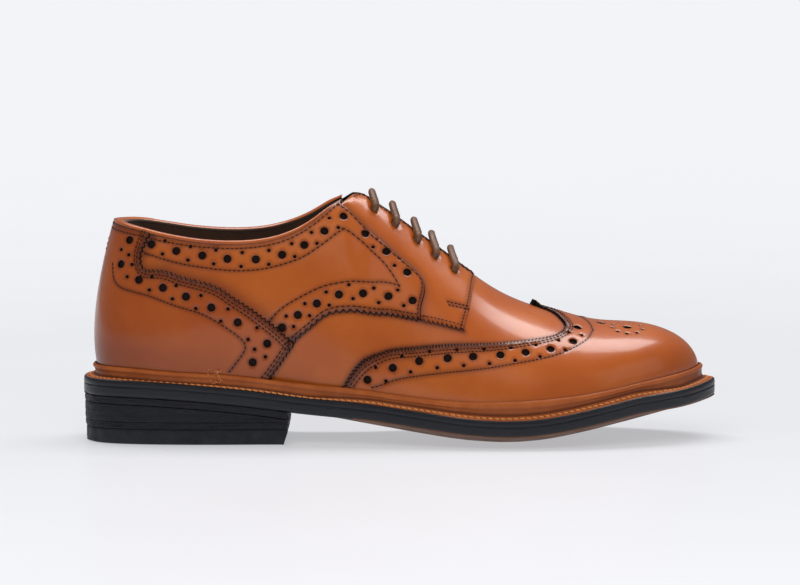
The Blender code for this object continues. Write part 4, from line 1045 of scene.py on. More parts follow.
def lining_leather(name):
    """Soft dark lining leather with a suede-like nap."""
    s = Shader(name, 0.7, sheen_weight=0.25, sheen_roughness=0.5, specular_ior_level=0.25)
    base = s.mix(s.span(s.noise(50.0, 5.0, 0.6), 0.3, 0.75), (0.030, 0.0135, 0.0075),
                 (0.06, 0.026, 0.013))
    relief = s.bump(s.cells(1200.0), 0.05, 0.5)
    relief = s.bump(s.noise(160.0, 4.0), 0.2, 0.4, relief)
    return s.finish(base, s.span(s.noise(300.0), 0.3, 0.7, 0.6, 0.8), relief)


def granulated_cork(name):
    """Cork paste: pale grains in a darker binder."""
    s = Shader(name, 0.85, specular_ior_level=0.2)
    grains = s.cells(420.0)
    base = s.mix(s.span(grains, 0.1, 0.7), (0.42, 0.25, 0.12), (0.12, 0.06, 0.03))
    return s.finish(base, 0.85, s.bump(grains, 0.4, 0.8))


def fibre_board(name):
    """Pressed stiffener board with loose fibres."""
    s = Shader(name, 0.8, specular_ior_level=0.2)
    fibres = s.noise(500.0, 6.0, 0.75, s.stretched((1.0, 0.35, 1.0)))
    base = s.mix(s.span(fibres, 0.3, 0.7), (0.48, 0.38, 0.26), (0.3, 0.22, 0.14))
    return s.finish(base, s.span(fibres, 0.3, 0.7, 0.7, 0.9), s.bump(fibres, 0.15, 0.7))


def brushed_metal(name, mid, deep, scale):
    """Metal with fine brushing and dull patches."""
    s = Shader(name, 0.35, metallic=1.0)
    lines = s.noise(scale, 5.0, 0.6, s.stretched((0.15, 1.0, 1.0)))
    base = s.mix(s.span(s.noise(220.0, 4.0), 0.3, 0.75), mid, deep)
    return s.finish(base, s.span(lines, 0.3, 0.7, 0.25, 0.5), s.bump(lines, 0.03, 0.5))


def waxed_cord(name, mid, deep):
    """Waxed braided cotton, darker by the painted shade in its braid's grooves."""
    s = Shader(name, 0.55, coat_weight=0.08, coat_roughness=0.35, specular_ior_level=0.35)
    base = s.mix(s.span(s.attribute("burnish_and_shade"), 0.0, 1.0), mid, deep)
    base = s.mix(s.span(s.noise(900.0, 4.0, 0.7), 0.35, 0.75, 0.0, 0.5), base, deep)
    relief = s.bump(s.noise(1800.0, 3.0, 0.6), 0.06, 0.7)
    return s.finish(base, s.span(s.noise(500.0), 0.3, 0.7, 0.42, 0.62), relief)


def sewing_thread(name, mid, deep):
    """Twisted thread."""
    s = Shader(name, 0.65, specular_ior_level=0.15)
    base = s.mix(s.span(s.noise(1500.0, 3.0, 0.7), 0.35, 0.7), mid, deep)
    twist = s.bump(s.noise(2500.0), 0.08, 0.8)
    return s.finish(base, s.span(s.noise(800.0), 0.3, 0.7, 0.45, 0.7), twist)


def celluloid(name):
    """Dark wrapped tip of the lace."""
    s = Shader(name, 0.3, coat_weight=0.3, coat_roughness=0.15)
    base = s.mix(s.span(s.noise(300.0, 4.0), 0.35, 0.7), (0.04, 0.022, 0.012), (0.09, 0.05, 0.03))
    return s.finish(base, s.span(s.noise(900.0), 0.3, 0.7, 0.22, 0.4), s.bump(s.noise(700.0), 0.03, 0.5))


# Deep colour for burnish and painted shade on the calf.
BURNISH_AND_SHADE = (0.05, 0.007, 0.001)
TAN = burnished_leather("Burnished tan calf", (0.37, 0.074, 0.008), BURNISH_AND_SHADE, (0.45, 0.105, 0.012))
TAN_DEEP = burnished_leather("Burnished heel calf", (0.31, 0.056, 0.005), BURNISH_AND_SHADE, (0.39, 0.083, 0.009))
WELT_TAN = raw_leather("Welt leather", (0.40, 0.105, 0.022), (0.26, 0.058, 0.011), 0.45)
# Cut edge: its own dye, darkened further as painted shade under the edge.
DYED_EDGE_AND_SHADE = raw_leather("Dyed cut edge with painted shade", (0.03, 0.009, 0.004), (0.012, 0.004, 0.002), 0.75)
FACING_EDGE = raw_leather("Facing cut edge", (0.10, 0.03, 0.010), (0.05, 0.014, 0.005), 0.65)
SOLE_BROWN = raw_leather("Sole leather", (0.20, 0.085, 0.04), (0.12, 0.045, 0.02), 0.55)
INSOLE_TAN = raw_leather("Insole leather", (0.50, 0.31, 0.17), (0.38, 0.21, 0.10), 0.6)
EDGE_BLACK = dressed_edge("Dressed black edge")
HEEL_BLACK = stacked_heel("Stacked heel leather")
RUBBER = black_rubber("Top piece rubber")
LINING = lining_leather("Lining leather")
CORK = granulated_cork("Cork filler")
BOARD = fibre_board("Stiffener board")
STEEL = brushed_metal("Shank steel", (0.5, 0.5, 0.52), (0.3, 0.3, 0.32), 900.0)
BRASS = brushed_metal("Antique brass", (0.5, 0.34, 0.13), (0.25, 0.16, 0.06), 900.0)
LACE_BROWN = waxed_cord("Waxed lace", (0.20, 0.092, 0.050), (0.06, 0.026, 0.014))
THREAD = sewing_thread("Brown thread", (0.03, 0.010, 0.005), (0.012, 0.004, 0.002))
WELT_THREAD = sewing_thread("Welt thread", (0.62, 0.25, 0.085), (0.4, 0.13, 0.04))
TIP_BROWN = celluloid("Lace tip")
# Near-black discs under the punched holes: painted shade.
HOLE_SHADE = raw_leather("Painted shade in punched holes", (0.006, 0.003, 0.002), (0.012, 0.005, 0.003), 0.85)


# ---------------------------------------------------------------- the upper's leather
def band_holes(points, side):
    """Large punches of a band and the small pairs between them, on one side."""
    spots = spread(*mirror_seen(points, side))
    return spots, between(spots)


def add_holes(panel, spots, radius):
    """Punch holes and note them for the painted shade in them."""
    panel.punch(spots, radius)
    HOLES.setdefault(panel.name, []).extend((np.asarray(s, float), radius) for s in spots)


def punch_band(panel, points, side):
    """Punch a band into a panel."""
    big, small = band_holes(points, side)
    add_holes(panel, big, BIG_HOLE)
    add_holes(panel, small, SMALL_HOLE)


SIDES = ((-1, "lateral"), (1, "medial"))
HOLES = {}           # punched holes by panel, for the painted shade in them
ROWS = {}            # stitch rows by piece, for the thread
SEAM_FLAT = {}       # the quarters' front edges
COUNTER_FLAT = {}    # the counter's edges


def arch_line(side):
    """Quarter and facing edge over the vamp, from the heel's counter to the facing's corner."""
    return pattern(ARCH[::-1], side, QUARTER_LEVEL)


def seam_line(side):
    """Quarter's front edge, from the topline down to the arch."""
    return pattern(SEAM, side, QUARTER_LEVEL)


def cut_at(line, x):
    """The part of a flat line after its point nearest to x."""
    return line[int(np.argmin(np.abs(line[:, 0] - x))):]


def make_quarter(side, word):
    """Quarter with its three punched bands and pinked lower edge."""
    arch = arch_line(side)
    seam = seam_line(side)
    foot = foot_at(QUARTER_FOOT_X)
    foot_line = edge_line(looped(QUARTER_END, side), looped(foot, side), 0.0)
    meet = int(np.argmin(np.linalg.norm(arch - seam[-1], axis=1)))
    toothed = pinked(arch[:meet + 1], *QUARTER_TEETH)
    top_t = crown_at(SEAM[0][0], 5.0, 8.0)
    top_line = edge_line(looped(top_t, side), looped(QUARTER_END, side), TOP_V)
    outline = np.vstack([foot_line, toothed, seam[::-1], top_line])
    panel = Panel(word + "_quarter", outline, QUARTER_LEVEL, LEATHER + 0.2, flare=0.45)
    rows = [pattern(TOPLINE_ROW, side), pattern(FACING_ROW, side), pattern(ARCH_ROW, side)]
    rows.append(shifted(seam, 1.2 * side))
    rows.append(shifted(arch[:meet - 1], -EDGE_ROW * side))
    rows.append(edge_line(looped(top_t - 0.1, side), looped(2.4, side), TOP_ROW_V))
    panel.stitch(*rows)
    for points in (TOPLINE_HOLES, SEAM_HOLES, ARCH_HOLES):
        punch_band(panel, points, side)
    ROWS[word] = rows
    counter = COUNTER_FLAT[side]
    # Painted shade, with burnish, on the quarter along the counter's overlapping edge.
    panel.extra_burnish_and_shade = lambda flat: 0.5 * dent(distance_to(flat, counter), 4.0) + broad_darkening(flat)
    made = panel.build([TAN, LINING, DYED_EDGE_AND_SHADE], 0.8)
    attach(made, "shoe")
    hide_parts(word + "_quarter")


def broad_darkening(flat):
    """Broad darkening: darker low on the sides and at the heel, and low on the toe; the ridge is
    darkened least.
    """
    t, v = gather(flat)
    s = fold(t)[0]
    low = dent(v, 0.22)
    heel = dent(s, 3.2)
    toe = ease((s - 13.5) / 3.0)
    cup = dent(s, 4.5) * dent(v - 0.16, 0.16)
    return 0.14 * low + 0.14 * heel + 0.3 * cup + 0.12 * toe * (1.0 - ease((v - 0.2) / 0.6)) + 0.04


def facing_front(side):
    """Facing's free front edge in flat points, from its top to its lower corner."""
    s = np.arange(RIDGE_START + 0.35, crown_at(185.0, RIDGE_START, TIP), 0.12)
    t = looped(s, side)
    reach = loop_value(SPLINE_REACH, np.mod(t, LOOP))
    edge = spread(t, 1.0 - FACING_GAP / (3.0 * reach))
    nose = spread(*mirror_seen(NOSE, side, FACING_LEVEL))
    top = spread(looped(FACING_TOP[0], side), FACING_TOP[1])
    return resample(np.vstack([top, edge, nose]), 0.9)


def facing_level(side):
    """The facing dips where it goes under the quarter."""
    seam = SEAM_FLAT[side]

    def level(flat):
        return -0.75 * dent(distance_to(flat, seam), 2.6)
    return level


def make_facing(side, word):
    """Whole lacing facing: leather outside, lining inside, holes for the lace."""
    front = facing_front(side)
    seam = SEAM_FLAT[side]
    arch = arch_line(side)
    under = shifted(seam, 1.0 * side)
    lower = cut_at(arch, float(seam[-1, 0]) - 2.0)
    lower = lower[lower[:, 0] > seam[-1, 0] + 0.2]
    toothed = pinked(lower, *QUARTER_TEETH)
    end = front[-1]
    toothed = toothed[np.linalg.norm(toothed - end, axis=1) > 1.0]
    outline = np.vstack([front, toothed[::-1], under[::-1]])
    panel = Panel(word + "_facing_front", outline, FACING_LEVEL, 0.9, flare=0.15)
    eyelets = spread(*mirror_seen(EYELETS, side, FACING_LEVEL))
    panel.punch(eyelets, BIG_HOLE)
    row = shifted(front, 1.3 * side)
    tack_a = pattern(BAR_TACK, side, FACING_LEVEL)
    tack_b = shifted(tack_a, 1.5)
    arch_row = shifted(lower, -EDGE_ROW * side)
    panel.stitch(row, tack_a, tack_b)
    ROWS[word + "_flap"] = [row[:-1], tack_a, tack_b, arch_row]
    panel.extra_level = facing_level(side)
    # Painted shade, with burnish, on the facing along the quarter's overlapping edge.
    panel.extra_burnish_and_shade = lambda flat: 0.35 * dent(distance_to(flat, seam), 3.0) + 0.5 * broad_darkening(flat)
    made = panel.build([TAN, FACING_EDGE, FACING_EDGE], 0.35)
    span_hinge(made, side)
    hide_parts(word + "_facing", word + "_facing_stay")
    make_facing_backing(side, word, outline, eyelets)


def make_facing_backing(side, word, outline, eyelets):
    """Reinforced lining under a facing, with wider holes for the eyelets."""
    inner = Panel(word + "_facing_backing", shrink(outline, 2.0), FACING_LEVEL - 1.0, 1.1, 1.8)
    inner.punch(eyelets, 2.75)
    inner.extra_level = facing_level(side)
    back = inner.build([FACING_EDGE, LINING])
    span_hinge(back, side)
    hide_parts(word + "_facing_lining")


def shrink(outline, distance):
    """A closed flat outline drawn in by a distance."""
    run = unit(np.roll(outline, -2, 0) - np.roll(outline, 2, 0))
    inward = np.stack([-run[:, 1], run[:, 0]], 1) * (1.0 if runs_left(outline) else -1.0)
    moved = outline + inward * distance
    closed = np.vstack([outline, outline[:1]])
    return moved[distance_to(moved, closed) > 0.8 * distance]


def hinge_ends(side):
    """Two points of the row frame, before and after the flap's bending line."""
    line = on_last(*mirror_seen((HINGE_TOP, HINGE_FOOT), side, HINGE_LEVEL), HINGE_LEVEL)
    run = unit(line[1] - line[0])
    away = on_last(*mirror_seen((EYELETS[2],), side, 1.0), 1.0)[0] - line[0]
    away = unit(away - run * (away @ run))
    middle = line.mean(0)
    return to_frame(middle - away * 3.0), to_frame(middle + away * 5.0)


def span_hinge(made, side):
    """A piece on a lacing flap, with its transform baked in; the hinge's points are found but not used.
    """
    start, end = hinge_ends(side)
    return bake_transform(made)


def make_counter():
    """Heel counter round the back, pinked and punched on both sides."""
    halves = {}
    for side, _ in SIDES:
        edge = pattern(COUNTER_EDGE, side, COUNTER_LEVEL)
        tail = pattern(COUNTER_TAIL, side, COUNTER_LEVEL)
        COUNTER_FLAT[side] = np.vstack([edge, tail])
        halves[side] = np.vstack([pinked(edge, *COUNTER_TEETH), pinked(tail, *COUNTER_TEETH)[1:]])
    top_t = crown_at(32.5)
    foot = foot_at(COUNTER_FOOT_X)
    lateral_top = edge_line(0.0, top_t, TOP_V)
    medial_top = edge_line(LOOP - top_t, LOOP, TOP_V)
    lateral_foot = edge_line(foot, 0.0, 0.0)
    medial_foot = edge_line(LOOP, LOOP - foot, 0.0)
    outline = np.vstack([lateral_top, halves[-1], lateral_foot[:-1], medial_foot, halves[1][::-1],
                         medial_top[:-1]])
    panel = Panel("heel_counter_cover", outline, COUNTER_LEVEL, TRIM_LEATHER, flare=0.5)
    rows = []
    for side, _ in SIDES:
        edge = COUNTER_FLAT[side]
        rows.append(pattern(COUNTER_ROW, side, COUNTER_LEVEL))
        rows.append(shifted(edge, EDGE_ROW * side))
        rows.append(shifted(edge, 3.3 * side))
        punch_band(panel, COUNTER_HOLES, side)
        rows.append(edge_line(looped(0.15, side), looped(top_t - 0.1, side), TOP_ROW_V))
    panel.stitch(*rows)
    tack = [np.array([[8.0, q], [3.0, q]]) for q in (-1.7, -0.8, 0.8, 1.7)]
    ROWS["counter"] = rows + tack
    panel.extra_burnish_and_shade = broad_darkening
    made = panel.build([TAN_DEEP, LINING, DYED_EDGE_AND_SHADE], 0.9)
    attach(made, "shoe")
    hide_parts("heel_counter")


def cap_half(side):
    """Wing cap's edge on one side: up the wing, round the valley and back to the peak."""
    low = spread(looped(foot_at(CAP_FOOT_X), side), 0.0)
    line = spread(*mirror_seen(CAP_EDGE, side))
    slant = np.array([[CAP_SLANT[0], -side * CAP_SLANT[1]]])
    return resample(np.vstack([low, line, slant, [CAP_PEAK]]), 0.9)


def make_cap():
    """Wing-shaped toe cap with its band and the medallion."""
    foot = foot_at(CAP_FOOT_X)
    edges = {side: cap_half(side) for side, _ in SIDES}
    toe_line = edge_line(foot, LOOP - foot, 0.0, 0.12)
    toothed = [pinked(edges[side], *CAP_TEETH) for side, _ in SIDES]
    full = np.vstack([toothed[0][::-1], toe_line[1:-1], toothed[1]])
    panel = Panel("wing_cap", full, CAP_LEVEL, TRIM_LEATHER, flare=0.55)
    rows = []
    for side, _ in SIDES:
        rows.append(shifted(edges[side], 1.7 * side)[3:-4])
        rows.append(shifted(edges[side], 3.0 * side)[5:-7])
        inner = pattern(CAP_ROW, side)
        rows.append(inner)
        rows.append(resample(np.vstack([inner[-1], [243.2, inner[-1, 1] * 0.5], [239.0, 0.0]]), 0.9)[1:])
        punch_band(panel, CAP_HOLES, side)
    add_holes(panel, [(231.5, 0.0)], BIG_HOLE)
    medallion(panel)
    panel.stitch(*rows)
    ROWS["cap"] = rows
    peak = np.array(CAP_PEAK)
    panel.extra_level = lambda flat: PEAK_CURL * dent(np.linalg.norm(flat - peak, axis=1), 4.0)
    panel.extra_burnish_and_shade = broad_darkening
    made = panel.build([TAN, LINING, DYED_EDGE_AND_SHADE], 0.9)
    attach(made, "shoe")
    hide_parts("toe_cap")


def medallion(panel):
    """Punched ornament on the toe: rings of small holes round large ones."""
    centre = np.array(MEDALLION)
    add_holes(panel, [centre, centre + (-13.4, 4.0)], BIG_HOLE)
    angles = np.radians(np.arange(9) * 40.0)
    ring = centre + 7.6 * np.stack([np.cos(angles), np.sin(angles)], 1)
    add_holes(panel, ring, SMALL_HOLE)


def make_vamp():
    """Vamp under the cap and the quarters."""
    halves = []
    for side, _ in SIDES:
        rear = pattern(VAMP_REAR, side, VAMP_LEVEL)
        foot = edge_line(looped(foot_at(VAMP_FOOT_X), side), looped(VAMP_END, side), 0.0)
        front = spread(np.full(14, looped(VAMP_END, side)), np.linspace(0.0, 1.0, 14))
        halves.append(np.vstack([rear, foot, front[1:]]))
    top = np.array([[187.0, 0.0]])
    outline = np.vstack([top, halves[0], halves[1][::-1][1:]])
    panel = Panel("vamp_front", outline, VAMP_LEVEL, 1.2, 1.7)
    shades = [cap_half(side) for side, _ in SIDES]
    arches = [arch_line(side) for side, _ in SIDES]

    # Painted shadow, with burnish, on the vamp along the cap's and the quarters' edges that lie over it.
    def edge_shadow_and_burnish(flat):
        cap = np.minimum(distance_to(flat, shades[0]), distance_to(flat, shades[1]))
        arch = np.minimum(distance_to(flat, arches[0]), distance_to(flat, arches[1]))
        return 1.1 * dent(cap, 1.5) + 1.1 * dent(arch, 1.6) + broad_darkening(flat)

    panel.extra_burnish_and_shade = edge_shadow_and_burnish
    made = panel.build([TAN, LINING, DYED_EDGE_AND_SHADE])
    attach(made, "shoe")
    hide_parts("vamp")


# ---------------------------------------------------------------- small things on the upper
# Place along a stitch, size and swell of its rings.
CAPSULE_RINGS = ((-1.0, 0.35, 0.0), (-0.72, 0.85, 0.0), (0.0, 1.0, 0.25), (0.72, 0.85, 0.0),
                 (1.0, 0.35, 0.0))


def capsules(name, starts, ends, normals, radius, stuff):
    """Many short rounded threads in one object, in table millimetres."""
    along = ends - starts
    half = np.linalg.norm(along, axis=1) / 2.0
    along = unit(along)
    across = unit(np.cross(normals, along))
    middle = 0.5 * (starts + ends)
    sides = 6
    angles = np.linspace(0.0, 2.0 * np.pi, sides, endpoint=False)
    points = []
    for place, size, swell in CAPSULE_RINGS:
        centre = middle + along * (half * place)[:, None] + normals * radius * swell
        for angle in angles:
            spoke = across * math.cos(angle) + normals * math.sin(angle)
            points.append(centre + spoke * radius * size)
    points = np.stack(points, 1)
    count = len(CAPSULE_RINGS) * sides
    faces = []
    for i in range(len(CAPSULE_RINGS) - 1):
        faces += tube_faces(i, sides)
    faces.append(tuple(range(sides))[::-1])
    faces.append(tuple(range(count - sides, count)))
    every = []
    for n in range(len(points)):
        every += [tuple(i + n * count for i in face) for face in faces]
    made = make_object(name, points.reshape(-1, 3), every, [stuff], 70.0)
    return check_winding(made)


def stitches_on(rows, level, pitch=STITCH_PITCH, length=1.55):
    """Starts, ends and normals of the stitches along flat rows."""
    starts = []
    ends = []
    normals = []
    for row in rows:
        fine = resample(row, pitch)
        run = unit(np.gradient(fine, axis=0)) * length / 2.0
        a = lift(fine - run, level)
        b = lift(fine + run, level)
        t, v = gather(fine)
        starts.append(a)
        ends.append(b)
        normals.append(last_normal(t, v))
    return np.vstack(starts), np.vstack(ends), np.vstack(normals)


def make_stitching():
    """All the upper's seams."""
    sets = (("quarter_stitching", ROWS["lateral"] + ROWS["medial"], QUARTER_LEVEL - THREAD_SINK),
            ("counter_stitching", ROWS["counter"], COUNTER_LEVEL - THREAD_SINK),
            ("cap_stitching", ROWS["cap"], CAP_LEVEL - THREAD_SINK))
    for name, rows, level in sets:
        made = capsules(name, *stitches_on(rows, level), THREAD_RADIUS, THREAD)
        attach(made, "shoe")
    for side, word in SIDES:
        rows = ROWS[word + "_flap"]
        places = stitches_on(rows, FACING_LEVEL - 0.1)
        made = capsules(word + "_facing_stitching", *places, THREAD_RADIUS, THREAD)
        span_hinge(made, side)


def make_hole_shade():
    """Dark discs of painted shade seen through the punched holes."""
    levels = {"wing_cap": 0.16, "heel_counter_cover": QUARTER_LEVEL + 0.08,
              "lateral_quarter": 0.42, "medial_quarter": 0.42}
    for name, holes in HOLES.items():
        points = []
        faces = []
        sides = 12
        under = 1 + sides
        for centre, radius in holes:
            shape, _ = spot_shape(centre, sides)
            ring = centre + shape * (radius + 0.12)
            flat = np.vstack([centre[None], ring])
            top = lift(flat, levels[name])
            low = lift(flat, levels[name] - 0.12)
            start = len(points)
            points += list(top) + list(low)
            for k in range(sides):
                a = start + 1 + k
                b = start + 1 + (k + 1) % sides
                faces.append((start, a, b))
                faces.append((start + under, b + under, a + under))
                faces.append((a, a + under, b + under, b))
        made = check_winding(make_object(name + "_backing", np.array(points), faces, [HOLE_SHADE], 30.0))
        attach(made, "shoe")


FOLD_ANGLES = (-60.0, -25.0, 0.0, 22.0, 45.0, 68.0, 90.0, 112.0, 135.0, 158.0, 180.0, 205.0)


def make_collar():
    """Folded edge that rolls over the topline from leather to lining."""
    last = crown_at(SEAM[0][0] + 0.6, 5.0, 8.0)
    ts = np.linspace(-last, last, 240)
    crown = last_point(ts, np.ones(len(ts)))
    below = last_point(ts, np.full(len(ts), 0.985))
    up = unit(crown - below)
    normal = last_normal(ts, np.full(len(ts), 0.99))
    heel = 1.0 - ease((np.abs(ts) - crown_at(31.0)) / 0.25)
    outer = QUARTER_LEVEL - 0.02 + (COUNTER_LEVEL - QUARTER_LEVEL - 0.05) * heel
    inner = np.full(len(ts), LINING_LEVEL - 1.15)
    end = 0.25 + 0.75 * ease((last - np.abs(ts)) / 0.6)
    middle = 0.5 * (outer + inner)
    outer = middle + (outer - middle) * (0.35 + 0.65 * end)
    inner = middle + (inner - middle) * end
    rings = []
    for angle in np.radians(FOLD_ANGLES):
        level = 0.5 * (outer + inner) + 0.5 * (outer - inner) * math.cos(angle)
        rise = (1.35 if angle > 0.0 else 1.5) * math.sin(angle) * end
        rings.append(crown + normal * level[:, None] + up * rise[:, None])
    rings = np.stack(rings, 1)
    size = len(FOLD_ANGLES)
    faces = []
    stuff = []
    for i in range(len(ts) - 1):
        faces += tube_faces(i, size)
        stuff += [1 if k >= 8 else 0 for k in range(size)]
    faces += [tuple(range(size)), tuple(range(len(ts) * size - size, len(ts) * size))[::-1]]
    stuff += [0, 0]
    made = make_object("topline_fold", rings.reshape(-1, 3), faces, [TAN, LINING], 75.0, stuff)
    check_winding(made)
    paint(made, "burnish_and_shade", np.full(len(ts) * size, 0.18))
    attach(made, "shoe")


def make_linings():
    """Smooth linings of the quarters, inside the leather."""
    for side, word in SIDES:
        front = pattern(LINING_FRONT, side, LINING_LEVEL, None)
        foot = edge_line(looped(0.04, side), looped(foot_at(83.3), side), 0.0)
        top = edge_line(looped(crown_at(SEAM[0][0], 5.0, 8.0), side), looped(0.04, side), 0.99)
        outline = np.vstack([foot, front[::-1], top])
        panel = Panel(word + "_quarter_inside", outline, LINING_LEVEL, 1.0, 2.2, 0.0)
        made = panel.build([LINING, LINING])
        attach(made, "shoe")
        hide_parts(word + "_quarter_lining")


# ---------------------------------------------------------------- tongue
def tongue_rows(layer, trim, stations, shares):
    """Rows of points over the tongue, root first."""
    root = crown_at(TONGUE_ROOT_X, RIDGE_START, TIP)
    dip = crown_at(TONGUE_ROOT_X - TONGUE_DIP, RIDGE_START, TIP)
    rows = []
    for s in stations:
        f = ease((s - dip) / (root - dip))
        level = layer + (TONGUE_ROOT_LEVEL - TONGUE_LEVEL) * f
        grow = np.clip((root - s) / (root - TONGUE_TOP_STATION), 0.0, 1.0)
        half = TONGUE_ROOT_HALF + (TONGUE_HALF - TONGUE_ROOT_HALF) * grow - trim
        reach = loop_value(SPLINE_REACH, np.array([s]))[0]
        heights = 1.0 - shares * half / (3.0 * reach)
        lateral = on_last(np.full(len(shares), s), heights, level)[::-1]
        medial = on_last(np.full(len(shares), LOOP - s), heights, level)[1:]
        rows.append(np.vstack([lateral, medial]))
    return rows


def make_tongue(name, layer, trim, thick, stuff, nodes, burnish_and_shade):
    """Tongue sheet with rounded top corners and soft edges."""
    root = crown_at(TONGUE_ROOT_X, RIDGE_START, TIP)
    stations = np.linspace(root, TONGUE_TOP_STATION, 40)
    shares = np.linspace(0.0, 1.0, 15)
    rows = tongue_rows(layer, trim, stations, shares)
    run = unit(rows[-1] - rows[-2])
    across = np.linspace(-1.0, 1.0, len(rows[0]))
    rest = rows[-1]
    length = (TONGUE_EXTRA - trim) * (1.0 - 0.34 * np.abs(across) ** 3.5)
    for share in np.linspace(0.06, 1.0, 16):
        move = run * (length * share)[:, None]
        move[:, 2] -= 2.5 * share * share
        rows.append(rest + move)
    grid = np.stack(rows)
    tall, wide = grid.shape[:2]
    along = np.gradient(grid, axis=0)
    sideways = np.gradient(grid, axis=1)
    normal = unit(np.cross(sideways, along))
    if normal[tall // 2, wide // 2, 2] < 0.0:
        normal = -normal
    edge = np.minimum(1.0 - np.abs(across)[None, :], (1.0 - np.linspace(0.0, 1.0, tall))[:, None] * 1.6)
    round_off = np.exp(-(np.maximum(edge, 0.0) / 0.035) ** 2)
    outer = grid - normal * (round_off * 0.35 * thick)[..., None]
    inner = grid - normal * (thick * (1.0 - 0.35 * round_off))[..., None]
    points = np.vstack([outer.reshape(-1, 3), inner.reshape(-1, 3)])
    size = tall * wide
    faces = []
    for i in range(tall - 1):
        for k in range(wide - 1):
            a = i * wide + k
            faces.append((a, a + 1, a + 1 + wide, a + wide))
            faces.append((a + size, a + wide + size, a + 1 + wide + size, a + 1 + size))
    rim = list(range(wide)) + [i * wide + wide - 1 for i in range(1, tall)]
    rim += [(tall - 1) * wide + k for k in range(wide - 2, -1, -1)]
    rim += [i * wide for i in range(tall - 2, 0, -1)]
    for a, b in zip(rim, rim[1:] + rim[:1]):
        faces.append((a, b, b + size, a + size))
    made = check_winding(make_object(name, points, faces, [stuff], 70.0))
    paint(made, "burnish_and_shade", np.full(len(points), burnish_and_shade))
    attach(made, "tongue")
    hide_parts(*nodes)


# ---------------------------------------------------------------- lace
def crossing(start, end, shares, level):
    """Points at a level from one eyelet to another over the ridge."""
    points = []
    for share in shares:
        t_start = min(start[0], LOOP - start[0])
        t_end = min(end[0], LOOP - end[0])
        s = t_start + (t_end - t_start) * share
        if level > 0.0:
            s -= LACE_BOW * math.sin(math.pi * share)
        away = -1.0 + 2.0 * share if start[0] < TIP else 1.0 - 2.0 * share
        depth = (1.0 - start[1]) + (start[1] - end[1]) * share
        t = s if away < 0.0 else LOOP - s
        points.append(on_last(t, 1.0 - abs(away) * depth, level)[0])
    return points


def bend(hole, level):
    """One point of the lace on an eyelet's axis."""
    return [on_last(hole[0], hole[1], level)[0]]


def lace_route():
    """Route of the lace from its medial end to its lateral end, as in the CAD source."""
    t, v = seen(EYELETS, 1.45)
    lateral = list(zip(t.tolist(), v.tolist()))
    medial = [(LOOP - a, b) for a, b in lateral]
    over = (0.09, 0.36, 0.64, 0.91)
    under = (0.08, 0.27, 0.43, 0.57, 0.73, 0.92)
    down = (2.8, 0.0, -3.2)
    first = medial[0]
    top = medial[-1]
    route = [on_last(a, b, level)[0] for a, b, level in (
        (LOOP - 9.0, 0.42, -5.2), (LOOP - 8.6, 0.5, -5.2), (LOOP - 8.4, 0.58, -5.0),
        (LOOP - 8.7, 0.66, -4.6), (LOOP - 9.1, top[1] - 0.085, LACE_UNDER),
        (LOOP - 9.7, medial[2][1] - 0.085, LACE_UNDER), (LOOP - 10.15, first[1] - 0.07, LACE_UNDER))]
    for level in reversed(down):
        route += bend(first, level)
    for i, (left, right) in enumerate(zip(lateral, medial)):
        route += crossing(right, left, over, LACE_OVER)
        for level in down:
            route += bend(left, level)
        if i + 1 < len(lateral):
            route += crossing(left, medial[i + 1], under, LACE_UNDER)
            for level in reversed(down):
                route += bend(medial[i + 1], level)
    last_hole = lateral[-1]
    route += [on_last(a, b, level)[0] for a, b, level in (
        (last_hole[0] - 0.25, last_hole[1] - 0.06, LACE_UNDER), (8.6, 0.72, -4.2),
        (8.4, 0.62, -4.9), (8.6, 0.52, -5.2), (9.0, 0.43, -5.2))]
    return np.array(route)


def make_lace():
    """Braided round lace, one piece for each side."""
    route = lace_route()
    centre = resample(route, LACE_STEP)
    run = unit(np.gradient(centre, axis=0))
    frame_n = np.zeros_like(centre)
    guide = unit(np.cross(run[0], (0.0, 0.0, 1.0)))
    for i, direction in enumerate(run):
        guide = unit(guide - direction * (guide @ direction))
        frame_n[i] = guide
    frame_b = np.cross(run, frame_n)
    sides = 16
    angles = np.linspace(0.0, 2.0 * np.pi, sides, endpoint=False)
    along = np.arange(len(centre)) * LACE_STEP
    twist = along[:, None] * 1.55
    turn = 2.0 * angles[None, :]
    braid = np.maximum(np.cos(turn + twist) * np.cos(turn - twist), -0.6)
    radius = LACE_RADIUS + 0.11 * braid
    ring = (frame_n[:, None, :] * np.cos(angles)[None, :, None]
            + frame_b[:, None, :] * np.sin(angles)[None, :, None]) * radius[..., None]
    points = centre[:, None, :] + ring
    away = centre[:, 1] - centre_swing(centre[:, 0])
    on_lateral = away < 0.0
    for side, word in SIDES:
        faces = []
        for i in range(len(centre) - 1):
            if on_lateral[i] == (side < 0):
                faces += tube_faces(i, sides)
        used = sorted({i for f in faces for i in f})
        index = {old: new for new, old in enumerate(used)}
        flat_points = points.reshape(-1, 3)[used]
        faces = [tuple(index[i] for i in f) for f in faces]
        made = make_object("lace_" + word, flat_points, faces, [LACE_BROWN], 80.0)
        fill_ends(made)
        # Painted shade in the braid's grooves.
        groove_shade = (0.5 - 0.5 * braid).reshape(-1)[used]
        paint(made, "burnish_and_shade", np.clip(groove_shade * 0.9, 0.0, 1.0))
        middle = on_last(crown_at(162.0, RIDGE_START, TIP), 1.0, 1.0)[0]
        hole = on_last(*mirror_seen((EYELETS[2],), side, 1.0), 1.0)[0]
        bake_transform(made)
        if side < 0:
            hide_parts("shoelace")


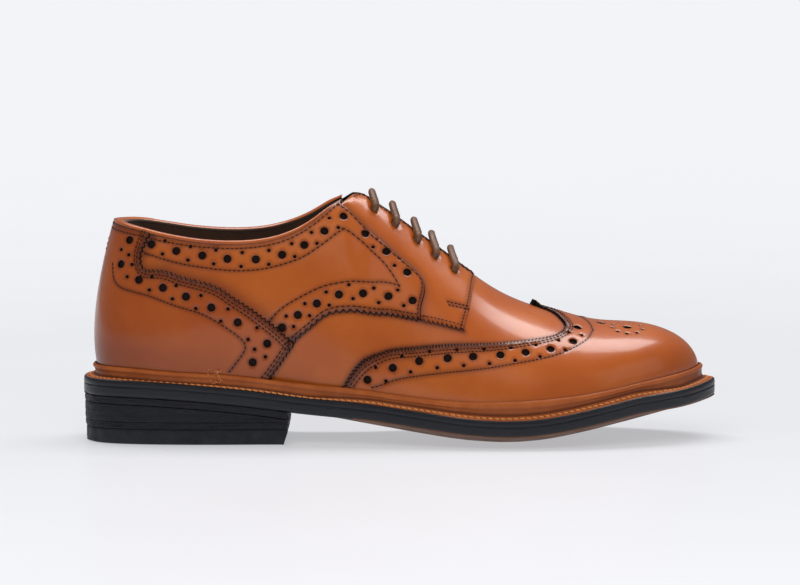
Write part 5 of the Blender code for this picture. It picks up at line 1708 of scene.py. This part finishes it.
def fill_ends(made):
    """Close the open ends of tubes and turn the faces outward."""
    shape = bmesh.new()
    shape.from_mesh(made.data)
    bmesh.ops.holes_fill(shape, edges=shape.edges, sides=40)
    bmesh.ops.recalc_face_normals(shape, faces=shape.faces)
    shape.to_mesh(made.data)
    shape.free()
    made.data.shade_smooth()
    made.data.set_sharp_from_angle(angle=math.radians(75.0))


# ---------------------------------------------------------------- soles, welt and heel
def edge_point(t):
    """Edge of the outsole seen from above: x, y."""
    t = np.atleast_1d(np.mod(t, LOOP))
    return np.stack([loop_value(SPLINE_EX, t), loop_value(SPLINE_EY, t)], 1)


def sole_z(x, y):
    """Bottom of the outsole."""
    x = np.asarray(x, float)
    base = natural(column(SOLE_PROFILE, 0), column(SOLE_PROFILE, 1), x)
    bow = np.minimum((y / SOLE_HALF) ** 2, CAMBER_LIMIT)
    return base + CAMBER * ease((x - CAMBER_START) / CAMBER_RUN) * bow + rim_lift(x, y)


def ball_share(x):
    """How far x lies in the ball and waist, where the sole's rim curls up."""
    return ease((x - 95.0) / 50.0) * (1.0 - ease((x - 262.0) / 33.0))


def rim_lift(x, y):
    """Rise of the sole towards its rim."""
    lateral = np.interp(x, column(SOLE_EDGE, 0), column(SOLE_EDGE, 1))
    medial = np.interp(x, column(SOLE_EDGE, 0), column(SOLE_EDGE, 2))
    half = np.maximum(0.5 * (medial - lateral), 1.0)
    off = np.abs(y - 0.5 * (medial + lateral)) / half
    return RIM_LIFT * ball_share(x) * ease((off - 0.45) / 0.5)


def inset_feather(t, distance):
    """Feather edge moved inward in plan: x, y."""
    t = np.atleast_1d(np.asarray(t, float))
    here = feather_point(t)[:, :2]
    along = unit(feather_point(t + 0.02)[:, :2] - feather_point(t - 0.02)[:, :2])
    return here + np.stack([-along[:, 1], along[:, 0]], 1) * distance


def rough(seed_points, scale, size):
    """Fixed small unevenness of points, in millimetres."""
    x, y, z = seed_points.T * scale
    wave = (np.sin(1.7 * x + 0.3) * np.cos(2.3 * y + 3.1 * z)
            + 0.6 * np.sin(4.1 * x + 3.7 * y + 1.0) * np.sin(7.3 * z + 2.9 * x)
            + 0.4 * np.sin(9.7 * x - 11.0 * z + 8.1 * y))
    return wave * size


def layer_solid(name, rows, low, high, wall, stuffs, wall_rough=0.0, wall_stuff=0, foot_stuff=0):
    """Solid between rows of plan points: flat faces on fine rows and a profiled wall.

    wall lists (share of the height, distance drawn in) from the bottom up.
    """
    index_rows = []
    plan = []
    for row in rows:
        index_rows.append(list(range(len(plan), len(plan) + len(row))))
        plan += list(row)
    plan = np.array(plan)
    first, last = index_rows[0], index_rows[-1]
    rim = [row[0] for row in index_rows] + last[1:-1]
    rim += [row[-1] for row in reversed(index_rows)][(1 if len(last) == 1 else 0):]
    rim += first[1:-1][::-1]
    if len(first) == 1:
        rim = rim[:-1]
    rim = np.array(rim)
    rim_plan = plan[rim]
    run = unit(np.roll(rim_plan, -1, 0) - np.roll(rim_plan, 1, 0))
    inward = np.stack([-run[:, 1], run[:, 0]], 1)
    middle = plan.mean(0)
    if ((middle - rim_plan) * inward).sum() < 0.0:
        inward = -inward
    count = len(plan)
    low_z = low(plan[:, 0], plan[:, 1])
    high_z = high(plan[:, 0], plan[:, 1])
    lower = np.column_stack([plan, low_z])
    upper = np.column_stack([plan, high_z])
    lower[rim, :2] += inward * wall[0][1]
    upper[rim, :2] += inward * wall[-1][1]
    sheet = []
    for a, b in zip(index_rows, index_rows[1:]):
        if len(a) == 1:
            sheet += [(a[0], b[k + 1], b[k]) for k in range(len(b) - 1)]
        elif len(b) == 1:
            sheet += [(a[k], a[k + 1], b[0]) for k in range(len(a) - 1)]
        else:
            sheet += [(a[k], a[k + 1], b[k + 1], b[k]) for k in range(len(a) - 1)]
    points = [lower, upper]
    rings = [rim]
    start = 2 * count
    for share, drawn in wall[1:-1]:
        ring = np.column_stack([rim_plan + inward * drawn,
                                low_z[rim] + (high_z[rim] - low_z[rim]) * share])
        if wall_rough:
            ring[:, :2] += inward * rough(ring, 0.55, wall_rough)[:, None]
        points.append(ring)
        rings.append(np.arange(start, start + len(rim)))
        start += len(rim)
    rings.append(rim + count)
    faces = list(sheet) + [tuple(i + count for i in reversed(f)) for f in sheet]
    stuff = [foot_stuff] * len(sheet) + [wall_stuff] * len(sheet)
    for level, (a, b) in enumerate(zip(rings, rings[1:])):
        for i in range(len(rim)):
            j = (i + 1) % len(rim)
            faces.append((int(a[i]), int(a[j]), int(b[j]), int(b[i])))
            bare = level == 0 and rim_plan[i][0] > HEEL_BREAST + 30.0
            stuff.append(foot_stuff if bare else wall_stuff)
    made = make_object(name, np.vstack(points), faces, stuffs, 42.0, stuff)
    return check_winding(made)


def sole_rows(across):
    """Fine plan rows over the whole outsole."""
    ts = np.concatenate([np.linspace(0.0, 1.0, 14)[:-1], np.linspace(1.0, 16.0, 121)[:-1],
                         np.linspace(16.0, 17.0, 14)])
    rows = []
    for t in ts:
        a = edge_point(t)[0]
        b = edge_point(LOOP - t)[0]
        if np.linalg.norm(a - b) < 0.5:
            rows.append([0.5 * (a + b)])
        else:
            rows.append(list(a + (b - a) * np.linspace(0.0, 1.0, across + 1)[:, None]))
    return rows


def heel_rows(drawn, across=14):
    """Fine plan rows of a heel layer, from its back to the breast."""
    ts = np.linspace(0.0, TIP / 2.0, 1400)
    lateral = edge_point(ts)
    medial = edge_point(-ts)
    rows = []
    stop_l = int(np.argmax(lateral[:, 0] > HEEL_BREAST))
    stop_m = int(np.argmax(medial[:, 0] > HEEL_BREAST))
    shares = np.concatenate([np.linspace(0.0, 0.35, 26)[:-1], np.linspace(0.35, 1.0, 40)])
    for f in shares:
        a = lateral[int(round(f * stop_l))].copy()
        b = medial[int(round(f * stop_m))].copy()
        for line in (a, b):
            line[1] *= (HEEL_HALF - drawn) / HEEL_HALF
            line[0] += drawn * (1.0 - line[0] / HEEL_BREAST)
        if f == shares[-1]:
            a[0] = b[0] = HEEL_BREAST
        if np.linalg.norm(a - b) < 0.5:
            rows.append([0.5 * (a + b)])
        else:
            rows.append(list(a + (b - a) * np.linspace(0.0, 1.0, across + 1)[:, None]))
    return rows


def make_outsole():
    """Outsole with a wheeled and rounded black edge over brown leather."""
    wall = ((0.0, 1.0), (0.14, 0.25), (0.22, 0.05), (0.4, 0.0), (0.6, 0.03), (0.8, 0.0), (0.96, 0.03),
            (1.0, 0.2))
    made = layer_solid("outsole_body", sole_rows(26), sole_z, lambda x, y: sole_z(x, y) + OUTSOLE_THICK,
                       wall, [EDGE_BLACK, SOLE_BROWN], 0.035, 0, 1)
    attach(made, "shoe")
    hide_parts("outsole")


def make_heel():
    """Three stacked lifts and the rubber top piece with its notched breast."""
    base = TOP_PIECE_THICK
    flat_top = base + SEAM_GAP + LIFT_THICK
    layered = ((0.0, 0.3), (0.06, 0.05), (0.22, 0.0), (0.4, 0.1), (0.52, -0.05), (0.66, 0.08),
               (0.8, 0.0), (0.94, 0.05), (1.0, 0.25))
    lifts = (("heel_lift_low", "heel_lift_3", 0.9, lambda x, y: np.full(len(x), base + 0.06),
              lambda x, y: np.full(len(x), flat_top)),
             ("heel_lift_middle", "heel_lift_2", 0.7, lambda x, y: np.full(len(x), flat_top + 0.06),
              lambda x, y: sole_z(x, y) - 2.0 * SEAM_GAP - LIFT_THICK),
             ("heel_lift_high", "heel_lift_1", 0.5, lambda x, y: sole_z(x, y) - SEAM_GAP - LIFT_THICK,
              lambda x, y: sole_z(x, y) - 0.06))
    for name, node, drawn, low, high in lifts:
        made = layer_solid(name, heel_rows(drawn), low, high, layered, [HEEL_BLACK], 0.2)
        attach(made, "shoe")
        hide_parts(node)
    rows = heel_rows(1.2)
    wall = ((0.0, 1.0), (0.06, 0.3), (0.16, 0.0), (0.8, 0.0), (0.92, 0.1), (1.0, 0.5))
    made = layer_solid("heel_top_piece", rows, lambda x, y: np.zeros(len(x)),
                       lambda x, y: np.full(len(x), base), wall, [RUBBER], 0.05)
    notch_back = (HEEL_BREAST + BACK_X) * MM
    for vert in made.data.vertices:
        near = max(0.0, 1.0 - (notch_back - vert.co.x) / (4.0 * MM))
        low = max(0.0, 1.0 - vert.co.z / (base * 0.75 * MM))
        if near > 0.0 and low > 0.0:
            vert.co.x -= 1.5 * MM * near * min(1.0, low * 3.0)
    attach(made, "shoe")
    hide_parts("top_piece")


# The welt's section: its black edge (drawn in, height), the thread's channel across the flange
# (share of the width, sink) and the storm lip (share of the height, swell).
WELT_EDGE = ((0.25, 0.0), (0.06, 0.12), (0.0, 0.4), (0.0, 1.5), (0.12, 2.4), (0.45, 2.9), (0.95, 3.1))
WELT_CHANNEL = ((0.15, 0.0), (0.32, -0.05), (0.42, -0.3), (0.5, -0.36), (0.58, -0.3), (0.7, -0.05),
                (0.88, -0.1))
STORM_BEAD = ((0.12, 1.5), (0.3, 1.2), (0.5, 1.05), (0.66, 1.1), (0.78, 1.55), (0.9, 1.6), (1.0, 1.15))


def welt_rings(ts, lower):
    """Fine cross sections of the storm welt along the loop, in table millimetres.

    lower takes the welt's joint down a little where the strip was skived.
    """
    s = fold(ts)[0]
    level = monotone(column(LIP_LEVEL, 0), column(LIP_LEVEL, 1), s)
    foot = feather_point(ts)
    edge = edge_point(ts)
    run = unit(edge_point(ts + 0.02) - edge_point(ts - 0.02))
    inward = np.stack([-run[:, 1], run[:, 0]], 1)
    under = sole_z(edge[:, 0], edge[:, 1]) + OUTSOLE_THICK + 0.06
    inner = inset_feather(ts, 2.6)
    inner_under = sole_z(inner[:, 0], inner[:, 1]) + OUTSOLE_THICK + SEAM_GAP
    lip_z = loop_value(SPLINE_LIP, np.mod(ts, LOOP)) - lower + LIP_LIFT * ball_share(foot[:, 0])
    heights = np.linspace(0.0, 0.4, 41)
    zs = np.stack([on_last(ts, np.full(len(ts), h), level)[:, 2] for h in heights], 1)
    lip_v = np.array([np.interp(z, row, heights) for z, row in zip(lip_z, zs)])
    root_in = on_last(ts, 0.0, level)
    shelf = np.minimum(foot[:, 2], root_in[:, 2]) - 2.0 * SEAM_GAP
    foot_out = on_last(ts, 0.0, level + 2.2)

    def plan(xy, z):
        return np.column_stack([xy, z])

    top_edge = under + WELT_EDGE[-1][1]
    gutter = np.maximum(shelf + 1.25, top_edge + 2.3 * ball_share(foot[:, 0]))
    ring = [plan(inner, inner_under)]
    for drawn, rise in WELT_EDGE:
        ring.append(plan(edge + inward * drawn, under + rise))
    out = edge + inward * WELT_EDGE[-1][0]
    for share, sink in WELT_CHANNEL:
        xy = out + (foot_out[:, :2] - out) * share
        ring.append(plan(xy, top_edge + (gutter - top_edge) * share + sink))
    ring.append(plan(foot_out[:, :2], gutter - 0.15))
    for share, swell in STORM_BEAD:
        spot = on_last(ts, lip_v * share, level + swell)
        spot[:, 2] = np.maximum(spot[:, 2], gutter + 0.2 + (lip_z - gutter) * share * 0.6)
        ring.append(spot)
    for rise, swell in ((0.005, 0.6), (0.003, 0.25), (0.0, 0.05)):
        ring.append(on_last(ts, lip_v + rise, level + swell))
    ring.append(plan(root_in[:, :2], shelf))
    ring.append(plan(inner, shelf))
    return np.stack(ring, 1)


BLACK_UP_TO = 7      # section points of the welt's black-dyed edge
# Painted shade of the section points: darker in the thread's channel, the gutter and the hollow under
# the bead.
WELT_PAINTED_SHADE = {10: 0.25, 11: 0.45, 12: 0.25, 14: 0.5, 15: 0.95, 16: 0.75, 17: 0.3, 18: 0.25, 19: 0.3,
             23: 0.2, 24: 0.9, 25: 0.9}


def welt_strip(name, ts, node, lower=0.0):
    """One length of welt with a black edge and a tan, stitched top."""
    rings = welt_rings(ts, lower)
    count, size = rings.shape[:2]
    wobble = rough(rings[:, BLACK_UP_TO + 9], 0.5, 0.12)
    rings[:, 16:26, 2] += wobble[:, None] * 0.5
    faces = []
    stuff = []
    for i in range(count - 1):
        faces += tube_faces(i, size)
        stuff += [1 if k < BLACK_UP_TO else 0 for k in range(size)]
    faces += [tuple(range(size))[::-1], tuple(range(count * size - size, count * size))]
    stuff += [1, 1]
    made = make_object(name, rings.reshape(-1, 3), faces, [WELT_TAN, EDGE_BLACK], 50.0, stuff)
    check_winding(made)
    # Painted shade in the welt's channel, its gutter and the hollow under its bead.
    burnish_and_shade = np.zeros(size)
    burnish_and_shade[list(WELT_PAINTED_SHADE)] = list(WELT_PAINTED_SHADE.values())
    paint(made, "burnish_and_shade", np.tile(burnish_and_shade, count))
    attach(made, "shoe")
    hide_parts(node)
    return rings


def make_welt():
    """Storm welt and heel rand, their outseam stitches and the frayed joint at the heel."""
    joint = foot_at(66.0)
    steps = int((LOOP - 2.0 * joint) / 0.07)
    front_ts = np.linspace(joint, LOOP - joint, steps)
    rings = welt_strip("storm_welt", front_ts, "welt")
    rear_ts = np.linspace(-(joint - 0.004), joint - 0.004, int(2.0 * joint / 0.06))
    rear = welt_strip("rand", rear_ts, "heel_rand", 0.15)
    for name, part in (("welt_stitching", rings), ("rand_stitching", rear)):
        line = 0.5 * (part[:, 11] + part[:, 12])
        outward = part[:, 9] - part[:, 13]
        path = resample(line, 3.0)
        run = unit(np.gradient(path, axis=0))
        nearest = np.argmin(((path[:, None, :] - line[None]) ** 2).sum(2), 1)
        across = unit(outward[nearest])
        normal = np.cross(run, across)
        normal *= np.sign(normal[:, 2:3])
        lean = run * 1.15 + across * 0.25
        path = path + normal * 0.05
        made = capsules(name, path - lean, path + lean, unit(normal), 0.5, WELT_THREAD)
        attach(made, "shoe")
    fray(joint)


def fray(joint):
    """Loose fibres where the welt's ends meet on the heel."""
    maker = np.random.default_rng(7)
    starts = []
    ends = []
    normals = []
    for sign in (1.0, -1.0):
        for _ in range(24):
            t = sign * (joint + maker.normal(0.0, 0.09))
            v = maker.uniform(0.02, 0.11)
            level = float(monotone(column(LIP_LEVEL, 0), column(LIP_LEVEL, 1), abs(t))) + 1.9
            spot = on_last(t, v, level)[0]
            normal = last_normal(np.array([t]), np.array([v]))[0]
            way = np.array([maker.normal(0.0, 1.0), maker.normal(0.0, 0.3), maker.normal(0.2, 0.5)])
            way = unit(way - normal * (way @ normal) * 0.8) * maker.uniform(0.4, 1.0)
            starts.append(spot - way)
            ends.append(spot + way)
            normals.append(normal)
    made = capsules("welt_joint_fibres", np.array(starts), np.array(ends), np.array(normals), 0.13,
                    WELT_THREAD)
    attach(made, "shoe")


# ---------------------------------------------------------------- the frame's own pieces
def dress_cad_nodes():
    """Better materials on the CAD pieces that stay."""
    stuffs = {"insole": INSOLE_TAN, "insole_rib": INSOLE_TAN, "cork_filler": CORK, "shank": STEEL,
              "heel_stiffener": BOARD, "toe_puff": BOARD, "heel_sock": LINING, "vamp_lining": LINING,
              "lateral_aglet": TIP_BROWN, "medial_aglet": TIP_BROWN}
    stuffs.update({"heel_nail_%d" % i: BRASS for i in range(1, 5)})
    stuffs.update({"%s_eyelet_%d" % (word, i): BRASS for _, word in SIDES for i in range(1, 6)})
    for node, stuff in stuffs.items():
        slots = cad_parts[node].material_slots
        for slot in slots:
            slot.material = stuff


# ---------------------------------------------------------------- studio
# The sweep ends in a dark room this far before the shoe (m).
DARK_FROM = -1.5
PALE_FROM = -0.6
# The floor's own glow makes up for the lamps' falling off round the point under them.
LIGHT_FOOT = (0.03, 0.25, 0.0)
LIGHT_REACH = 1.5
NEAR_GLOW = (0.40, 0.405, 0.42)
FAR_GLOW = (0.80, 0.81, 0.84)


def make_floor():
    """Wide pale studio floor."""
    shape = bmesh.new()
    bmesh.ops.create_circle(shape, cap_ends=True, segments=96, radius=60.0)
    mesh = bpy.data.meshes.new("studio_floor")
    shape.to_mesh(mesh)
    shape.free()
    s = Shader("Pale studio sweep", 0.5, specular_ior_level=0.1)
    base = s.mix(s.span(s.noise(3.0, 2.0), 0.3, 0.7), (0.29, 0.29, 0.30), (0.31, 0.31, 0.32))
    lit = s.span(s.axis("Y"), DARK_FROM, PALE_FROM)
    base = s.mix(lit, (0.02, 0.02, 0.02), base)
    glow = s.mix(s.falloff(LIGHT_FOOT, LIGHT_REACH), FAR_GLOW, NEAR_GLOW)
    s.link(s.mix(lit, (0.0, 0.0, 0.0), glow), s.surface.inputs["Emission Color"])
    s.surface.inputs["Emission Strength"].default_value = 1.0
    mesh.materials.append(s.finish(base, s.span(s.noise(9.0), 0.3, 0.7, 0.34, 0.4), None))
    floor = bpy.data.objects.new("studio_floor", mesh)
    floor.location.z = -0.0003
    bpy.context.scene.collection.objects.link(floor)


def area_light(name, place, aim_at, width, height, power, colour=(1.0, 1.0, 1.0)):
    """Soft rectangular light."""
    lamp = bpy.data.lights.new(name, "AREA")
    lamp.shape = "RECTANGLE"
    lamp.size = width
    lamp.size_y = height
    lamp.energy = power
    lamp.color = colour
    made = bpy.data.objects.new(name, lamp)
    made.location = place
    made.rotation_euler = (Vector(aim_at) - Vector(place)).to_track_quat("-Z", "Y").to_euler()
    bpy.context.scene.collection.objects.link(made)
    return made


# Camera: distance, width of its field and height of its aim in metres, tilt in degrees.
CAMERA_DISTANCE = 2.0
CAMERA_FIELD = 0.386
CAMERA_AIM = 0.0701
CAMERA_TILT = 4.5


def make_studio():
    """World and lights, then the camera."""
    world = bpy.data.worlds.new("Studio")
    world.use_nodes = True
    sky = world.node_tree.nodes["Background"].inputs
    sky["Color"].default_value = (0.86, 0.875, 0.92, 1.0)
    sky["Strength"].default_value = 0.22
    bpy.context.scene.world = world
    bpy.context.scene.view_settings.view_transform = "Standard"
    area_light("overhead", (0.05, 0.45, 1.5), (0.0, 0.0, 0.05), 1.7, 0.7, 30.0)
    area_light("front_fill", (-0.5, -2.4, 2.3), (0.0, 0.0, 0.05), 2.6, 1.6, 5.0)
    area_light("scrim", (-0.3, -2.4, 1.9), (0.0, 0.0, 0.05), 2.6, 1.6, 55.0).visible_glossy = False
    area_light("toe_side", (1.6, -0.9, 0.9), (0.08, 0.0, 0.05), 1.2, 1.2, 3.0)
    make_camera()


def make_camera():
    """Camera from the lateral side, a little above the floor."""
    tilt = math.radians(CAMERA_TILT)
    camera = bpy.data.cameras.new("Camera")
    camera.sensor_width = 36.0
    camera.lens = camera.sensor_width * CAMERA_DISTANCE / CAMERA_FIELD
    camera.clip_end = 200.0
    made = bpy.data.objects.new("Camera", camera)
    away = Vector((0.0, -math.cos(tilt), math.sin(tilt))) * CAMERA_DISTANCE
    made.location = Vector((0.0, 0.0, CAMERA_AIM)) + away
    made.rotation_euler = (math.pi / 2.0 - tilt, 0.0, 0.0)
    bpy.context.scene.collection.objects.link(made)
    bpy.context.scene.camera = made


def main():
    """Build the looks."""
    make_studio()
    make_floor()
    for side, word in SIDES:
        SEAM_FLAT[side] = seam_line(side)
    make_counter()
    for side, word in SIDES:
        make_quarter(side, word)
        make_facing(side, word)
    make_cap()
    make_vamp()
    make_linings()
    make_collar()
    make_hole_shade()
    make_stitching()
    make_tongue("tongue_leather", TONGUE_LEVEL, 0.0, 1.2, TAN, ["tongue"], 0.3)
    make_tongue("tongue_inside", TONGUE_LINING_LEVEL, 0.8, 1.0, LINING, ["tongue_lining"],
                0.0)
    make_lace()
    make_outsole()
    make_heel()
    make_welt()
    dress_cad_nodes()


main()
